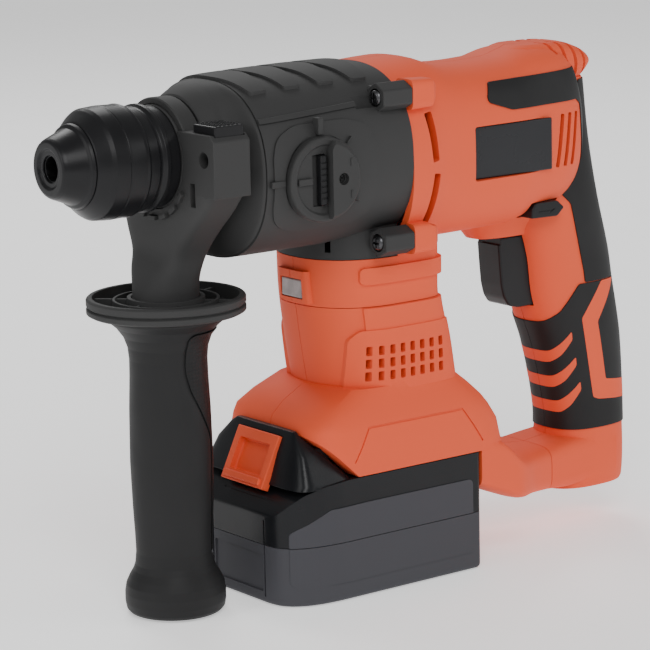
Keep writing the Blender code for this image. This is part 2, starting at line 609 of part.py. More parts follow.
def make_gearbox():
    """Gearbox nose and housing, the bearing plate inside and the screws that hold it to the motor."""
    axis = (0, 0, CHUCK_Z)
    nose = loft("gearbox_nose", nose_rings(), BLACK)
    join(nose, cylinder("collar_form", (GEARBOX_NOSE_X, 0, CHUCK_Z), (GEARBOX_NOSE_X + 11 * MM, 0, CHUCK_Z),
                        COLLAR_RADIUS, is_cutter=True))
    hollow_front = BEARING_X[1] + 4 * MM
    hollow = [ring_x(hollow_front, 20 * MM, CHUCK_Z - 18 * MM, CHUCK_Z + 20 * MM, 2.0),
              ring_x(GEARBOX_SEAM_X + MM, 36.5 * MM, CHUCK_Z - 18 * MM, CHUCK_Z + 25.5 * MM, 2.3)]
    cut(nose, loft("nose_hollow", hollow, is_cutter=True),
        cylinder("nose_bore", (GEARBOX_NOSE_X - MM, 0, CHUCK_Z), (hollow_front + MM, 0, CHUCK_Z),
                 BEARING_RADIUS + GAP, is_cutter=True),
        cylinder("shaft_bush", (GEARBOX_SEAM_X - 4 * MM, 0, INTERMEDIATE_Z),
                 (GEARBOX_SEAM_X + 2 * MM, 0, INTERMEDIATE_Z), SHAFT_RADIUS + GAP, is_cutter=True, sides=24))

    housing = loft("gearbox_housing", gearbox_rings(), BLACK)
    lug_x = (SCREW_X[0] + MM, MOTOR_SEAM_X - GAP / 2 - 0.02 * MM)
    saddle = loft("gearbox_saddle", column_rings(SADDLE_Z, CHUCK_Z - 30 * MM), is_cutter=True)
    boolean(saddle, box("saddle_end", (-20 * MM, lug_x[1]), (-40 * MM, 40 * MM), (SADDLE_Z - MM, CHUCK_Z),
                        is_cutter=True), 'INTERSECT')
    join(housing, saddle)
    for number, (side, z) in enumerate(screw_places(), 1):
        y = side * SCREW_Y
        arm = sorted((side * (SCREW_Y - 14 * MM), side * (SCREW_Y + LUG_RADIUS * 0.8)))
        join(housing, cylinder(f"lug_{number}", (lug_x[0], y, z), (lug_x[1], y, z), LUG_RADIUS,
                               is_cutter=True, sides=6),
             box(f"lug_arm_{number}", (lug_x[0] + 0.5 * MM, lug_x[1]), arm,
                 (z - LUG_RADIUS * 0.8, z + LUG_RADIUS * 0.8), is_cutter=True))
    inside = gearbox_rings(-WALL)
    hollow = [set_at(inside[0], GEARBOX_SEAM_X - MM), set_at(inside[-1], MOTOR_SEAM_X + MM)]
    cut(housing, loft("gearbox_hollow", hollow, is_cutter=True),
        box("gear_room", (-7 * MM, MOTOR_SEAM_X + MM), (-19 * MM, 19 * MM),
            (SADDLE_Z + WALL, INTERMEDIATE_Z), is_cutter=True),
        box("ring_room", (WOBBLE_X - 7.4 * MM, WOBBLE_X), (-9.5 * MM, 9.5 * MM),
            (SADDLE_Z + WALL, INTERMEDIATE_Z), is_cutter=True))
    for number, (side, z) in enumerate(screw_places(), 1):
        make_gearbox_screw(housing, number, side * SCREW_Y, z, lug_x)
    knob_x, knob_z = KNOB_CENTRE
    cut(housing,
        cylinder("knob_seat", (knob_x, KNOB_SEAT_Y, knob_z), (knob_x, KNOB_SEAT_Y - 10 * MM, knob_z),
                 KNOB_RADIUS + 0.7 * MM, is_cutter=True),
        cylinder("knob_hole", (knob_x, KNOB_SEAT_Y + 8 * MM, knob_z), (knob_x, KNOB_SEAT_Y - MM, knob_z),
                 KNOB_SHAFT_RADIUS + GAP, is_cutter=True, sides=24))

    plate_x = (-19.5 * MM, -12.5 * MM)
    inside = gearbox_rings(-WALL - GAP)
    bearing_plate = loft("bearing_plate", [set_at(inside[0], x) for x in plate_x], ALUMINIUM)
    cut(bearing_plate,
        cylinder("barrel_hole", (plate_x[0] - MM, 0, CHUCK_Z), (plate_x[1] + MM, 0, CHUCK_Z),
                 BARREL_BORE + BARREL_WALL + GAP, is_cutter=True),
        cylinder("plate_shaft_hole", (plate_x[0] - MM, 0, INTERMEDIATE_Z),
                 (plate_x[1] + MM, 0, INTERMEDIATE_Z), SHAFT_RADIUS + GAP, is_cutter=True, sides=24))
    cut_plate_corners(bearing_plate, plate_x)

    motor_plate_x = (MOTOR_SEAM_X - 3 * MM, MOTOR_SEAM_X + 2.5 * MM)
    inside = gearbox_rings(-WALL - 10 * GAP)
    motor_plate = loft("motor_plate", [set_at(inside[-1], x) for x in motor_plate_x], ALUMINIUM)
    cut(motor_plate,
        cylinder("motor_bearing_seat", (motor_plate_x[0] - MM, 0, MOTOR_Z),
                 (motor_plate_x[1] + MM, 0, MOTOR_Z), MOTOR_BEARING_RADIUS + GAP, is_cutter=True),
        cylinder("rear_shaft_hole", (motor_plate_x[0] - MM, 0, INTERMEDIATE_Z),
                 (motor_plate_x[1] + MM, 0, INTERMEDIATE_Z), SHAFT_RADIUS + GAP, is_cutter=True, sides=24))
    cut_plate_corners(motor_plate, motor_plate_x)
    bearing_ring("front_motor_bearing", motor_plate_x, MOTOR_Z, MOTOR_BEARING_RADIUS, ROTOR_SHAFT_RADIUS)


def screw_places():
    return [(side, z) for side in (-1, 1) for z in SCREW_Z]


def cut_plate_corners(part, span):
    """Room at the four corners of an inner plate for the gearbox screws' lugs."""
    for number, (side, z) in enumerate(screw_places(), 1):
        y = side * SCREW_Y
        cut(part, cylinder(f"{part.name}_corner_{number}", (span[0] - MM, y, z), (span[1] + MM, y, z),
                           LUG_RADIUS + 2 * GAP, is_cutter=True, sides=16))


def make_gearbox_screw(housing, number, y, z, lug_x):
    """A pan-head screw along X, and its hole in the lug."""
    head_rear = lug_x[0] + 2 * MM
    screw = turned(f"gearbox_screw_{number}", [
        (SCREW_X[0], 0), (SCREW_X[0], SCREW_HEAD_RADIUS - 0.7 * MM),
        (SCREW_X[0] + 0.8 * MM, SCREW_HEAD_RADIUS), (head_rear - GAP, SCREW_HEAD_RADIUS),
        (head_rear - GAP, SCREW_RADIUS), (SCREW_X[1], SCREW_RADIUS),
        (SCREW_X[1], 0)], 'X', (0, y, z), DARK_STEEL, steps=12)
    slot = 0.5 * MM
    for turn, word in ((0, "a"), (1, "b")):
        wide = 2.2 * MM
        half_y, half_z = (wide, slot) if turn else (slot, wide)
        cut(screw, box(f"recess_{number}_{word}", (SCREW_X[0] - MM, SCREW_X[0] + 1.2 * MM),
                       (y - half_y, y + half_y), (z - half_z, z + half_z), is_cutter=True))
    cut(housing,
        cylinder(f"head_room_{number}", (lug_x[0] - 10 * MM, y, z), (head_rear, y, z),
                 SCREW_HEAD_RADIUS + 0.5 * MM, is_cutter=True, sides=20),
        cylinder(f"screw_hole_{number}", (lug_x[0], y, z), (lug_x[1] + MM, y, z),
                 SCREW_RADIUS + GAP, is_cutter=True, sides=16))


def bearing_ring(name, span, z, outer, shaft):
    turned(name, [(span[0], outer), (span[1], outer), (span[1], shaft + GAP), (span[0], shaft + GAP)],
           'X', (0, 0, z), STEEL, steps=28)


def make_mode_knob():
    """The mode knob, its shaft with an off-centre pin, and the lock slider in its face."""
    x, z = KNOB_CENTRE
    seat = -KNOB_SEAT_Y + GAP
    face = seat + 4.2 * MM
    knob = turned("mode_knob", [
        (-face, 0), (-face, KNOB_RADIUS - 3 * MM), (-face + 0.6 * MM, KNOB_RADIUS - 0.4 * MM),
        (-face + MM, KNOB_RADIUS), (-seat, KNOB_RADIUS), (-seat, KNOB_SHAFT_RADIUS),
        (-seat + 9 * MM, KNOB_SHAFT_RADIUS), (-seat + 9 * MM, 0)], 'Y', (x, 0, z), BLACK)
    block = cylinder("knob_grip", (x, -face + MM, z), (x, -face - 3.6 * MM, z), KNOB_RADIUS - 2 * MM,
                     is_cutter=True)
    boolean(block, box("knob_grip_side", (x + MM, x + 20 * MM), (-face - 10 * MM, -face + 5 * MM),
                       (z - 14.5 * MM, z + 14.5 * MM), is_cutter=True), 'INTERSECT')
    join(knob, block, cylinder("knob_pin", (x, -seat + 8 * MM, z + 3.2 * MM),
                               (x, -seat + 12 * MM, z + 3.2 * MM), 2 * MM, is_cutter=True, sides=16))
    slot_x = (x - 6 * MM, x + 0.5 * MM)
    slot_z = 10.5 * MM
    cut(knob, box("lock_slot", slot_x, (-face - MM, -face + 2.4 * MM), (z - slot_z, z + slot_z),
                  is_cutter=True),
        cylinder("knob_screw_hole", (x + 8 * MM, -face - 5 * MM, z), (x + 8 * MM, -face - MM, z), 2.4 * MM,
                 is_cutter=True, sides=20))
    box("mode_lock_slider", (slot_x[0] + 2.6 * MM, slot_x[1] - GAP), (-face - 1.4 * MM, -face + 2.1 * MM),
        (z - slot_z + GAP, z + slot_z - GAP), BLACK, bevel=0.5 * MM)


# ================================================================ motor
def make_motor():
    """Stator, rotor, fan and the rear bearing."""
    axis = (0, 0, MOTOR_Z)
    front, rear = STATOR_X
    bore = ROTOR_RADIUS + 0.6 * MM
    stator = turned("stator", [(front, STATOR_RADIUS), (rear, STATOR_RADIUS), (rear, bore), (front, bore)],
                    'X', axis, COPPER)
    slots = 6
    for i in range(slots):
        angle = 2 * math.pi * i / slots
        reach = (bore + STATOR_RADIUS) / 2 - MM
        foot = Vector((0, math.cos(angle), math.sin(angle))) * reach + Vector(axis)
        cut(stator, cylinder(f"winding_slot_{i}", (front - MM, foot.y, foot.z), (rear + MM, foot.y, foot.z),
                             3.2 * MM, is_cutter=True, sides=12))
    turned("rotor_core", [(front + MM, ROTOR_RADIUS), (rear - MM, ROTOR_RADIUS),
                          (rear - MM, ROTOR_SHAFT_RADIUS + GAP), (front + MM, ROTOR_SHAFT_RADIUS + GAP)],
           'X', axis, STEEL, steps=32)
    hub_radius = 9 * MM
    blades = 9
    outline = []
    for i in range(blades):
        middle = 2 * math.pi * i / blades
        for r, turn in ((hub_radius, -0.10), (FAN_RADIUS, 0.10), (FAN_RADIUS, 0.20), (hub_radius, 0.10)):
            outline.append((r * math.cos(middle + turn), MOTOR_Z + r * math.sin(middle + turn)))
    fan = plate("cooling_fan", outline, FAN_X, 'X', BLACK)
    join(fan, cylinder("fan_disc", (FAN_X[1] - 1.6 * MM, 0, MOTOR_Z), (FAN_X[1] + 0.2 * MM, 0, MOTOR_Z),
                       FAN_RADIUS - 0.2 * MM, is_cutter=True))
    cut(fan, cylinder("fan_bore", (FAN_X[0] - MM, 0, MOTOR_Z), (FAN_X[1] + MM, 0, MOTOR_Z),
                      ROTOR_SHAFT_RADIUS + GAP, is_cutter=True, sides=24))
    bearing_ring("rear_motor_bearing", REAR_BEARING_X, MOTOR_Z, MOTOR_BEARING_RADIUS, ROTOR_SHAFT_RADIUS)


# ================================================================ housings
def body_rings(inset=0.0):
    """Sections of the motor housing along X, up to the back of the D-handle."""
    top = CHUCK_Z
    rear = HANDLE_REAR_X
    rows = ((MOTOR_SEAM_X + GAP / 2, 41.3, -53.0, 30.2, 2.35), (34 * MM, 39.5, -50.0, 30.8, 2.5),
            (44 * MM, 36.0, -48.0, 30.6, 2.7), (60 * MM, 33.0, -47.5, 25.8, 3.0),
            (92 * MM, 31.0, -47.0, 25.8, 3.0), (rear - 64 * MM, 28.5, -45.0, 28.8, 3.0),
            (rear - 48.5 * MM, 25.8, -43.0, 29.4, 3.0), (rear - 38.5 * MM, 22.0, -40.0, 27.0, 2.8),
            (rear - 32.5 * MM, 17.5, -35.0, 18.0, 2.6), (rear - 28.5 * MM, 12.5, -28.0, 14.0, 2.4))
    return [ring_x(x, half * MM, top + low * MM, top + high * MM, power, inset)
            for x, half, low, high, power in rows]


def handle_rings(inset=0.0):
    """Sections of the D-handle's grip from the bar up to the motor housing."""
    rear = HANDLE_REAR_X
    width = HANDLE_HALF_WIDTH
    top = CHUCK_Z
    rows = ((17.6 * MM, 44, -1.2, 1.0), (30 * MM, 42, 0, 1.05),
            (45 * MM, 39.5, 0, 1.0), (59 * MM, 41, 0, 0.97),
            (84 * MM, 47, -1.5, 1.0), (top - 92 * MM, 52.5, -3.5, 1.0), (top - 80 * MM, 56, -6, 1.02),
            (top - 64 * MM, 58, -9.0, 1.04), (top - 40 * MM, 64, -15.5, 1.06),
            (top - 13 * MM, 60, -20.5, 0.95), (top + 14 * MM, 60, -24, 0.95))
    return [ring_z(z, rear - depth * MM, rear + back * MM, width * share, 2.6, inset)
            for z, depth, back, share in rows]


def cap_rings():
    """Sections of the cap that overhangs the back of the D-handle."""
    rear = HANDLE_REAR_X
    rows = ((14, 73, 25.5, 15), (17.5, 72, 21.7, 15.5), (21, 71, 19.8, 15.5), (25.3, 69, 24.0, 14.5),
            (28.6, 65, 31.5, 12.5), (29.8, 62, 36.0, 10))
    return [ring_z(CHUCK_Z + z * MM, rear - front * MM, rear - back * MM, half * MM, 3.5)
            for z, front, back, half in rows]


def trigger_lip_rings():
    """Sections of the lip that the housing carries forward over the trigger."""
    rows = ((TRIGGER_TOP_Z + GAP, 86, 9.0), (TRIGGER_TOP_Z + 4 * MM, 83, 10.5),
            (TRIGGER_TOP_Z + 9 * MM, 78, 13.5), (TRIGGER_TOP_Z + 14 * MM, 73, 17))
    return [ring_z(z, front * MM, 130 * MM, half * MM, 3) for z, front, half in rows]


def bar_rings(front_half):
    """Sections of the bar between the foot and the grip, on one side of its seam."""
    if front_half:
        rows = ((BATTERY_X[1] + 0.6 * MM, 37.5, 34.5, 60.0, 8), (74 * MM, 37.5, 28.6, 54.0, 7),
                (85.5 * MM, 36.0, 24.0, 45.0, 5.5), (101 * MM, 25.5, 21.3, 41.5, 5),
                (BAR_SEAM_X - GAP / 2, 19.0, 19.4, 40.0, 4.5))
    else:
        rows = ((BAR_SEAM_X + GAP / 2, 19.0, 19.4, 40.0, 4.5), (BAR_SEAM_X + 14 * MM, 18.0, 18.5, 41.5, 5),
                (HANDLE_REAR_X - 12 * MM, 17.5, 17.8, 44.0, 4))
    return [ring_x(x, half * MM, low * MM, high * MM, power) for x, half, low, high, power in rows]


def column_rings(low, high, inset=0.0):
    """Sections of the column between two heights."""
    rows = ((83 * MM, -4.6 * MM, 57 * MM), (102 * MM, -7.8 * MM, 54 * MM),
            (COLUMN_SEAM_Z, -10.2 * MM, 50 * MM), (134 * MM, -11 * MM, 50 * MM),
            (CHUCK_Z - 25 * MM, -11 * MM, 50 * MM))
    rings = [ring_z(z, front, rear, COLUMN_HALF_WIDTH, 5, inset, 2.3) for z, front, rear in rows]
    return clip_rings(rings, low, high)


def grip_band(name, outer_inset, inner_inset, low, high, is_cutter=False, mat=RUBBER):
    """A sleeve round the grip between two heights, from one inset of the grip's form to another."""
    outer = loft(name, clip_rings(handle_rings(outer_inset), low, high), mat, is_cutter)
    inner = loft(name + "_inner", clip_rings(handle_rings(inner_inset), low - MM, high + MM), is_cutter=True)
    return cut(outer, inner)


def vent_boxes(name, count, first, step, size, side):
    """A row of upright slots through one side wall."""
    made = []
    for i in range(count):
        x = first[0] + i * step
        y = sorted((side * size[1], side * size[2]))
        made.append(box(f"{name}_{i}_{'left' if side < 0 else 'right'}", (x, x + size[0]), y,
                        (first[1], first[1] + size[3]), is_cutter=True))
    return made


def upper_housing(name):
    """Motor housing, D-handle and the column's upper end, as one closed form with its hollows."""
    form = loft(name, body_rings(), RED)
    stub = loft(name + "_stub", column_rings(COLUMN_SEAM_Z + GAP / 2, CHUCK_Z - 30 * MM), is_cutter=True)
    join(form, stub, loft(name + "_grip", handle_rings(), is_cutter=True),
         loft(name + "_bar", bar_rings(False), is_cutter=True),
         loft(name + "_cap", cap_rings(), is_cutter=True),
         loft(name + "_lip", trigger_lip_rings(), is_cutter=True))
    around = gearbox_rings(GAP)
    gearbox = [set_at(around[1], -30 * MM), set_at(around[-1], MOTOR_SEAM_X + GAP / 2)]
    cut(form, loft(name + "_gearbox", gearbox, is_cutter=True))
    for number, (side, z) in enumerate(screw_places(), 1):
        y = side * SCREW_Y
        cut(form, cylinder(f"{name}_lug_room_{number}", (-20 * MM, y, z), (MOTOR_SEAM_X + GAP / 2, y, z),
                           LUG_RADIUS + GAP, is_cutter=True, sides=6))
    cut(form, box(name + "_saddle_room", (-20 * MM, MOTOR_SEAM_X + GAP / 2), (-50 * MM, 50 * MM),
                  (SADDLE_Z - GAP, CHUCK_Z), is_cutter=True))
    inside = body_rings(WALL)
    fan_room = [set_at(inside[0], MOTOR_SEAM_X - MM), set_at(inside[2], FAN_X[1] + 1.5 * MM)]
    cut(form, loft(name + "_fan_room", fan_room, is_cutter=True),
        cylinder(name + "_motor_room", (FAN_X[1], 0, MOTOR_Z), (REAR_BEARING_X[0] - MM, 0, MOTOR_Z),
                 STATOR_RADIUS + GAP, is_cutter=True),
        cylinder(name + "_bearing_room", (FAN_X[1], 0, MOTOR_Z), (REAR_BEARING_X[1] + 4 * MM, 0, MOTOR_Z),
                 MOTOR_BEARING_RADIUS + GAP, is_cutter=True))
    cut(form, box(name + "_wire_way", (24 * MM, 46 * MM), (-22 * MM, 22 * MM),
                  (COLUMN_SEAM_Z - MM, MOTOR_Z), is_cutter=True))
    rear = HANDLE_REAR_X
    hollow_wall = GRIP_RUBBER + GAP + WALL
    cut(form, loft(name + "_grip_room", clip_rings(handle_rings(hollow_wall), 26 * MM, TRIGGER_TOP_Z),
                   is_cutter=True),
        loft(name + "_rear_room",
             clip_rings(body_rings(WALL), REAR_BEARING_X[1] + 8 * MM, rear - 34 * MM, 0), is_cutter=True))
    cut(form, box(name + "_switch_room", (rear - 40 * MM, rear - 14 * MM), (-11.5 * MM, 11.5 * MM),
                  (TRIGGER_BOTTOM_Z - 3 * MM, TRIGGER_TOP_Z + MM), is_cutter=True),
        box(name + "_trigger_window", (rear - 66 * MM, rear - 40 * MM),
            (-TRIGGER_HALF_WIDTH - GAP, TRIGGER_HALF_WIDTH + GAP),
            (TRIGGER_BOTTOM_Z - GAP, TRIGGER_TOP_Z + 0.5 * MM), is_cutter=True),
        box(name + "_bar_window", (SWITCH_BAR_X[0] - GAP, SWITCH_BAR_X[1] + GAP), (-40 * MM, 40 * MM),
            (SWITCH_BAR_Z - 3.5 * MM - GAP, SWITCH_BAR_Z + 3.5 * MM + GAP), is_cutter=True))
    lens_half = LENS_HALF_WIDTH + GAP
    cut(form, box(name + "_lens_pocket", (-20 * MM, LENS_X[1] + GAP), (-lens_half, lens_half),
                  (LENS_Z[0] - GAP, LENS_Z[1] + GAP), is_cutter=True))
    for side, word in ((-1, "left"), (1, "right")):
        cut(form, *vent_boxes(name + "_air_high", 1, (AIR_SLOT_X, CHUCK_Z - 10.5 * MM), 0,
                              (AIR_SLOT_WIDTH, 20 * MM, 60 * MM, 21 * MM), side),
            *vent_boxes(name + "_air_low", 1, (AIR_SLOT_X, CHUCK_Z - 36.8 * MM), 0,
                        (AIR_SLOT_WIDTH, 20 * MM, 60 * MM, 21 * MM), side),
            *vent_boxes(name + "_air_rear", 3, (rear - 53.5 * MM, CHUCK_Z - 22.5 * MM), 5.2 * MM,
                        (2.4 * MM, 18 * MM, 60 * MM, 23.5 * MM), side))
        plate_y = sorted((side * LABEL_Y, side * 60 * MM))
        cut(form, box(f"{name}_label_{word}", LABEL_X, plate_y, LABEL_Z, is_cutter=True))
    cut(form, grip_band(name + "_band", -MM, GRIP_RUBBER + GAP, GRIP_RUBBER_Z[0] - GAP,
                        GRIP_RUBBER_Z[1] + GAP, is_cutter=True))
    return form


def lower_housing(name):
    """Lower column, battery foot and the front part of the bar, as one closed form with its hollows."""
    foot_top = 86 * MM
    form = loft(name, column_rings(foot_top - 3 * MM, COLUMN_SEAM_Z - GAP / 2), RED)
    front = BATTERY_NOSE_X + GAP
    rows = ((52 * MM, 0, 77, 38.0, 8), (64 * MM, 0, 75, 37.8, 7), (72.5 * MM, 0, 71, 36.5, 6),
            (80 * MM, 7.5, 64.5, 33.0, 5), (foot_top, 18.5, 58.5, 30.0, 4))
    foot = [ring_z(z, front + back * MM, rear * MM, half * MM, power) for z, back, rear, half, power in rows]
    low_z, high_z = SHOULDER_Z
    shoulder = [(front - MM, high_z + GAP), (front, high_z + GAP), (SHOULDER_REAR_X + GAP, low_z + GAP),
                (SHOULDER_REAR_X + GAP, low_z - 5 * MM), (front - MM, low_z - 5 * MM)]
    join(form, loft(name + "_foot", foot, is_cutter=True),
         loft(name + "_bar", bar_rings(True), is_cutter=True))
    rail_top = BATTERY_RAIL_Z + GAP
    column_half = COLUMN_HALF_WIDTH - WALL - MM
    cut(form, box(name + "_rail_way", (front - MM, BATTERY_X[1] + GAP),
                  (-BATTERY_RAIL_HALF_WIDTH - GAP, BATTERY_RAIL_HALF_WIDTH + GAP),
                  (BATTERY_DECK_Z - MM, rail_top), is_cutter=True),
        plate(name + "_shoulder_way", shoulder, (-40 * MM, 40 * MM), 'Y', is_cutter=True),
        box(name + "_case_way", (front - 2 * MM, BATTERY_X[1] + GAP), (-40 * MM, 40 * MM),
            (20 * MM, BATTERY_DECK_Z + GAP), is_cutter=True),
        box(name + "_foot_room", (5 * MM, 47 * MM), (-column_half, column_half), (rail_top - MM, foot_top),
            is_cutter=True),
        loft(name + "_column_room", column_rings(foot_top - MM, COLUMN_SEAM_Z + MM, WALL + MM),
             is_cutter=True))
    columns, rows_of_holes = 8, 3
    pitch_x, pitch_z = 5.2 * MM, 6.4 * MM
    for side in (-1, 1):
        for row in range(rows_of_holes):
            first = (4.2 * MM, 87.5 * MM + row * pitch_z)
            cut(form, *vent_boxes(f"{name}_grid_{row}", columns, first, pitch_x,
                                  (2.6 * MM, 20 * MM, 50 * MM, 4.8 * MM), side))
    return form


def make_housings():
    in_halves("upper_housing", upper_housing)
    in_halves("lower_housing", lower_housing)
    in_halves("grip_rubber", lambda name: grip_band(name, 0.0, GRIP_RUBBER, *GRIP_RUBBER_Z))
    for side, word in ((-1, "left"), (1, "right")):
        span = sorted((side * (LABEL_Y + GAP), side * (LABEL_Y + LABEL_THICKNESS)))
        box(f"label_plate_{word}", (LABEL_X[0] + GAP, LABEL_X[1] - GAP), span,
            (LABEL_Z[0] + GAP, LABEL_Z[1] - GAP), BLACK)
    box("work_light_lens", LENS_X, (-LENS_HALF_WIDTH, LENS_HALF_WIDTH), LENS_Z, LENS, bevel=0.5 * MM)


# ================================================================ controls
def make_controls():
    """Trigger with its spring, switch module and the push-through direction switch."""
    rear = HANDLE_REAR_X
    top, bottom = TRIGGER_TOP_Z, TRIGGER_BOTTOM_Z
    back = rear - 48 * MM
    outline = [(rear - 73 * MM, top), (back, top), (back, bottom), (rear - 61 * MM, bottom),
               (rear - 68 * MM, bottom + 2.2 * MM), (rear - 70.5 * MM, bottom + 8 * MM),
               (rear - 72 * MM, bottom + 20 * MM)]
    trigger = plate("trigger", outline, (-TRIGGER_HALF_WIDTH, TRIGGER_HALF_WIDTH), 'Y', BLACK)
    add_bevel(trigger, 1.5 * MM)
    module_front = rear - 36 * MM
    switch_z = (bottom + MM, top - MM)
    box("switch_module", (module_front, rear - 15 * MM), (-10.5 * MM, 10.5 * MM), switch_z, BLACK,
        bevel=0.6 * MM)
    middle = (top + bottom) / 2
    coil("trigger_spring", (back + 1.1 * MM, 0, middle), (module_front - 1.1 * MM, 0, middle),
         3.5 * MM, 0.5 * MM, 3)
    low, high = SWITCH_BAR_Z - 3.5 * MM, SWITCH_BAR_Z + 3.5 * MM
    front, tip = SWITCH_BAR_X
    outline = [(front, low), (tip - 4 * MM, low), (tip, SWITCH_BAR_Z), (tip - 4 * MM, high),
               (front + 2 * MM, high), (front, high - 2 * MM)]
    half = HANDLE_HALF_WIDTH + 6.8 * MM
    plate("direction_switch", outline, (-half, half), 'Y', BLACK)
    box("motor_controller", (6 * MM, 44 * MM), (-15 * MM, 15 * MM), (78 * MM, COLUMN_SEAM_Z - 6 * MM),
        ALUMINIUM, bevel=MM)
    box("terminal_block", (14 * MM, 46 * MM), (-18 * MM, 18 * MM), (BATTERY_RAIL_Z + 2 * GAP, 74 * MM),
        BLACK)


# ================================================================ side handle
def make_side_handle():
    """Bracket clamped on the gearbox collar, depth-stop button, guard core and grip cover."""
    band_bore = COLLAR_RADIUS + GAP
    band_x = (BLOCK_X[0] + 1.4 * MM, GEARBOX_NOSE_X + 9.4 * MM)
    bracket = turned("handle_bracket", [(band_x[0], band_bore + 2.4 * MM), (band_x[1], band_bore + 2.4 * MM),
                                        (band_x[1], band_bore), (band_x[0], band_bore)],
                     'X', (0, 0, CHUCK_Z), BLACK)
    block = box("bracket_block", BLOCK_X, (BLOCK_Y[0], BLOCK_Y[1] + 6 * MM),
                (CHUCK_Z - 13 * MM, BLOCK_TOP_Z), is_cutter=True)
    half = SIDE_NECK_RADIUS
    front, back = BLOCK_X
    rows = ((GUARD_Z - SOCKET_DEPTH + GAP, SIDE_X - half, SIDE_X + half, -half, half, 2),
            (GUARD_Z + MM, SIDE_X - half, SIDE_X + half, -half, half, 2),
            (GUARD_Z + 9 * MM, SIDE_X - 10 * MM, back, -half, 17.5 * MM, 2.6),
            (GUARD_Z + 17 * MM, front - MM, back, -15.5 * MM, 20.5 * MM, 4),
            (GUARD_Z + 26 * MM, front, back, -22.5 * MM, 23.5 * MM, 6),
            (GUARD_Z + 37 * MM, front, back, -34 * MM, 26 * MM, 8),
            (GUARD_Z + 48 * MM, front, back, BLOCK_Y[0], 24 * MM, 10))
    strut = [shifted(ring_z(z, x0, x1, (y1 - y0) / 2, power), (y0 + y1) / 2)
             for z, x0, x1, y0, y1, power in rows]
    join(bracket, block, loft("bracket_strut", strut, is_cutter=True))
    flare_start = GEARBOX_NOSE_X + 9.7 * MM
    cut(bracket,
        cylinder("collar_room", (BLOCK_X[0] - 8 * MM, 0, CHUCK_Z), (BLOCK_X[1] + 8 * MM, 0, CHUCK_Z),
                 band_bore, is_cutter=True),
        cylinder("flare_room", (flare_start, 0, CHUCK_Z), (BLOCK_X[1] + 8 * MM, 0, CHUCK_Z),
                 30.5 * MM, is_cutter=True),
        cylinder("chuck_room", (BLOCK_X[0] - 8 * MM, 0, CHUCK_Z), (GEARBOX_NOSE_X - 0.2 * MM, 0, CHUCK_Z),
                 SLEEVE_RADIUS + MM, is_cutter=True),
        cylinder("depth_hole", (BLOCK_X[0] - MM, *DEPTH_HOLE), (BLOCK_X[1] + MM, *DEPTH_HOLE),
                 DEPTH_HOLE_RADIUS, is_cutter=True, sides=20))
    button_x = (BLOCK_X[0] + 2.2 * MM, BLOCK_X[1] - 1.4 * MM)
    button_y = (BLOCK_Y[0] + 2 * MM, BLOCK_Y[0] + 17 * MM)
    pocket_z = DEPTH_HOLE[1] + DEPTH_HOLE_RADIUS + 1.4 * MM
    cut(bracket, box("button_pocket", (button_x[0] - GAP, button_x[1] + GAP),
                     (button_y[0] - GAP, button_y[1] + GAP), (pocket_z, BLOCK_TOP_Z + MM), is_cutter=True))
    box("depth_stop_button", button_x, button_y,
        (pocket_z + DEPTH_TRAVEL + 0.2 * MM, BLOCK_TOP_Z + 3.8 * MM), BLACK, bevel=0.6 * MM)

    centre = (SIDE_X, 0, 0)
    top = GUARD_Z
    socket = SIDE_NECK_RADIUS + 0.5 * MM
    socket_floor = top - SOCKET_DEPTH
    core_radius = 10 * MM
    turned("side_grip_core", [
        (6 * MM, 0), (6 * MM, core_radius), (top - 11 * MM, core_radius), (top - 8 * MM, 25 * MM),
        (top - 7 * MM, GUARD_RADIUS - MM), (top - 6.2 * MM, GUARD_RADIUS), (top - 4.4 * MM, GUARD_RADIUS),
        (top - 3.9 * MM, GUARD_RADIUS - MM), (top - 3.4 * MM, GUARD_RADIUS), (top - MM, GUARD_RADIUS),
        (top, GUARD_RADIUS - 0.8 * MM), (top, GUARD_RADIUS - 3.2 * MM),
        (top - 5 * MM, GUARD_RADIUS - 4 * MM),
        (top - 5 * MM, socket + 2.5 * MM), (top - 0.5 * MM, socket + 2.5 * MM), (top - 0.5 * MM, socket),
        (socket_floor, socket), (socket_floor, 0)], 'Z', centre, BLACK)
    grip = SIDE_GRIP_RADIUS
    inner = core_radius + GAP
    turned("side_grip_cover", [
        (SIDE_FOOT_Z, 0), (SIDE_FOOT_Z, grip + 1.6 * MM), (SIDE_FOOT_Z + 1.6 * MM, grip + 3.4 * MM),
        (9 * MM, grip + 3.9 * MM), (13 * MM, grip + 3.2 * MM), (20 * MM, grip), (26 * MM, grip - 1.3 * MM),
        (45 * MM, grip - 0.5 * MM), (64 * MM, grip), (86 * MM, grip - 0.4 * MM),
        (top - 26 * MM, grip - 1.2 * MM), (top - 21 * MM, grip - 0.6 * MM),
        (top - 14.5 * MM, grip + 3.5 * MM), (top - 9.5 * MM, grip + 7.5 * MM),
        (top - 8.4 * MM, grip + 7.5 * MM), (top - 11.4 * MM, inner), (5.6 * MM, inner), (5.6 * MM, 0)],
        'Z', centre, RUBBER)


def shifted(ring, offset):
    return [Vector((p.x, p.y + offset, p.z)) for p in ring]


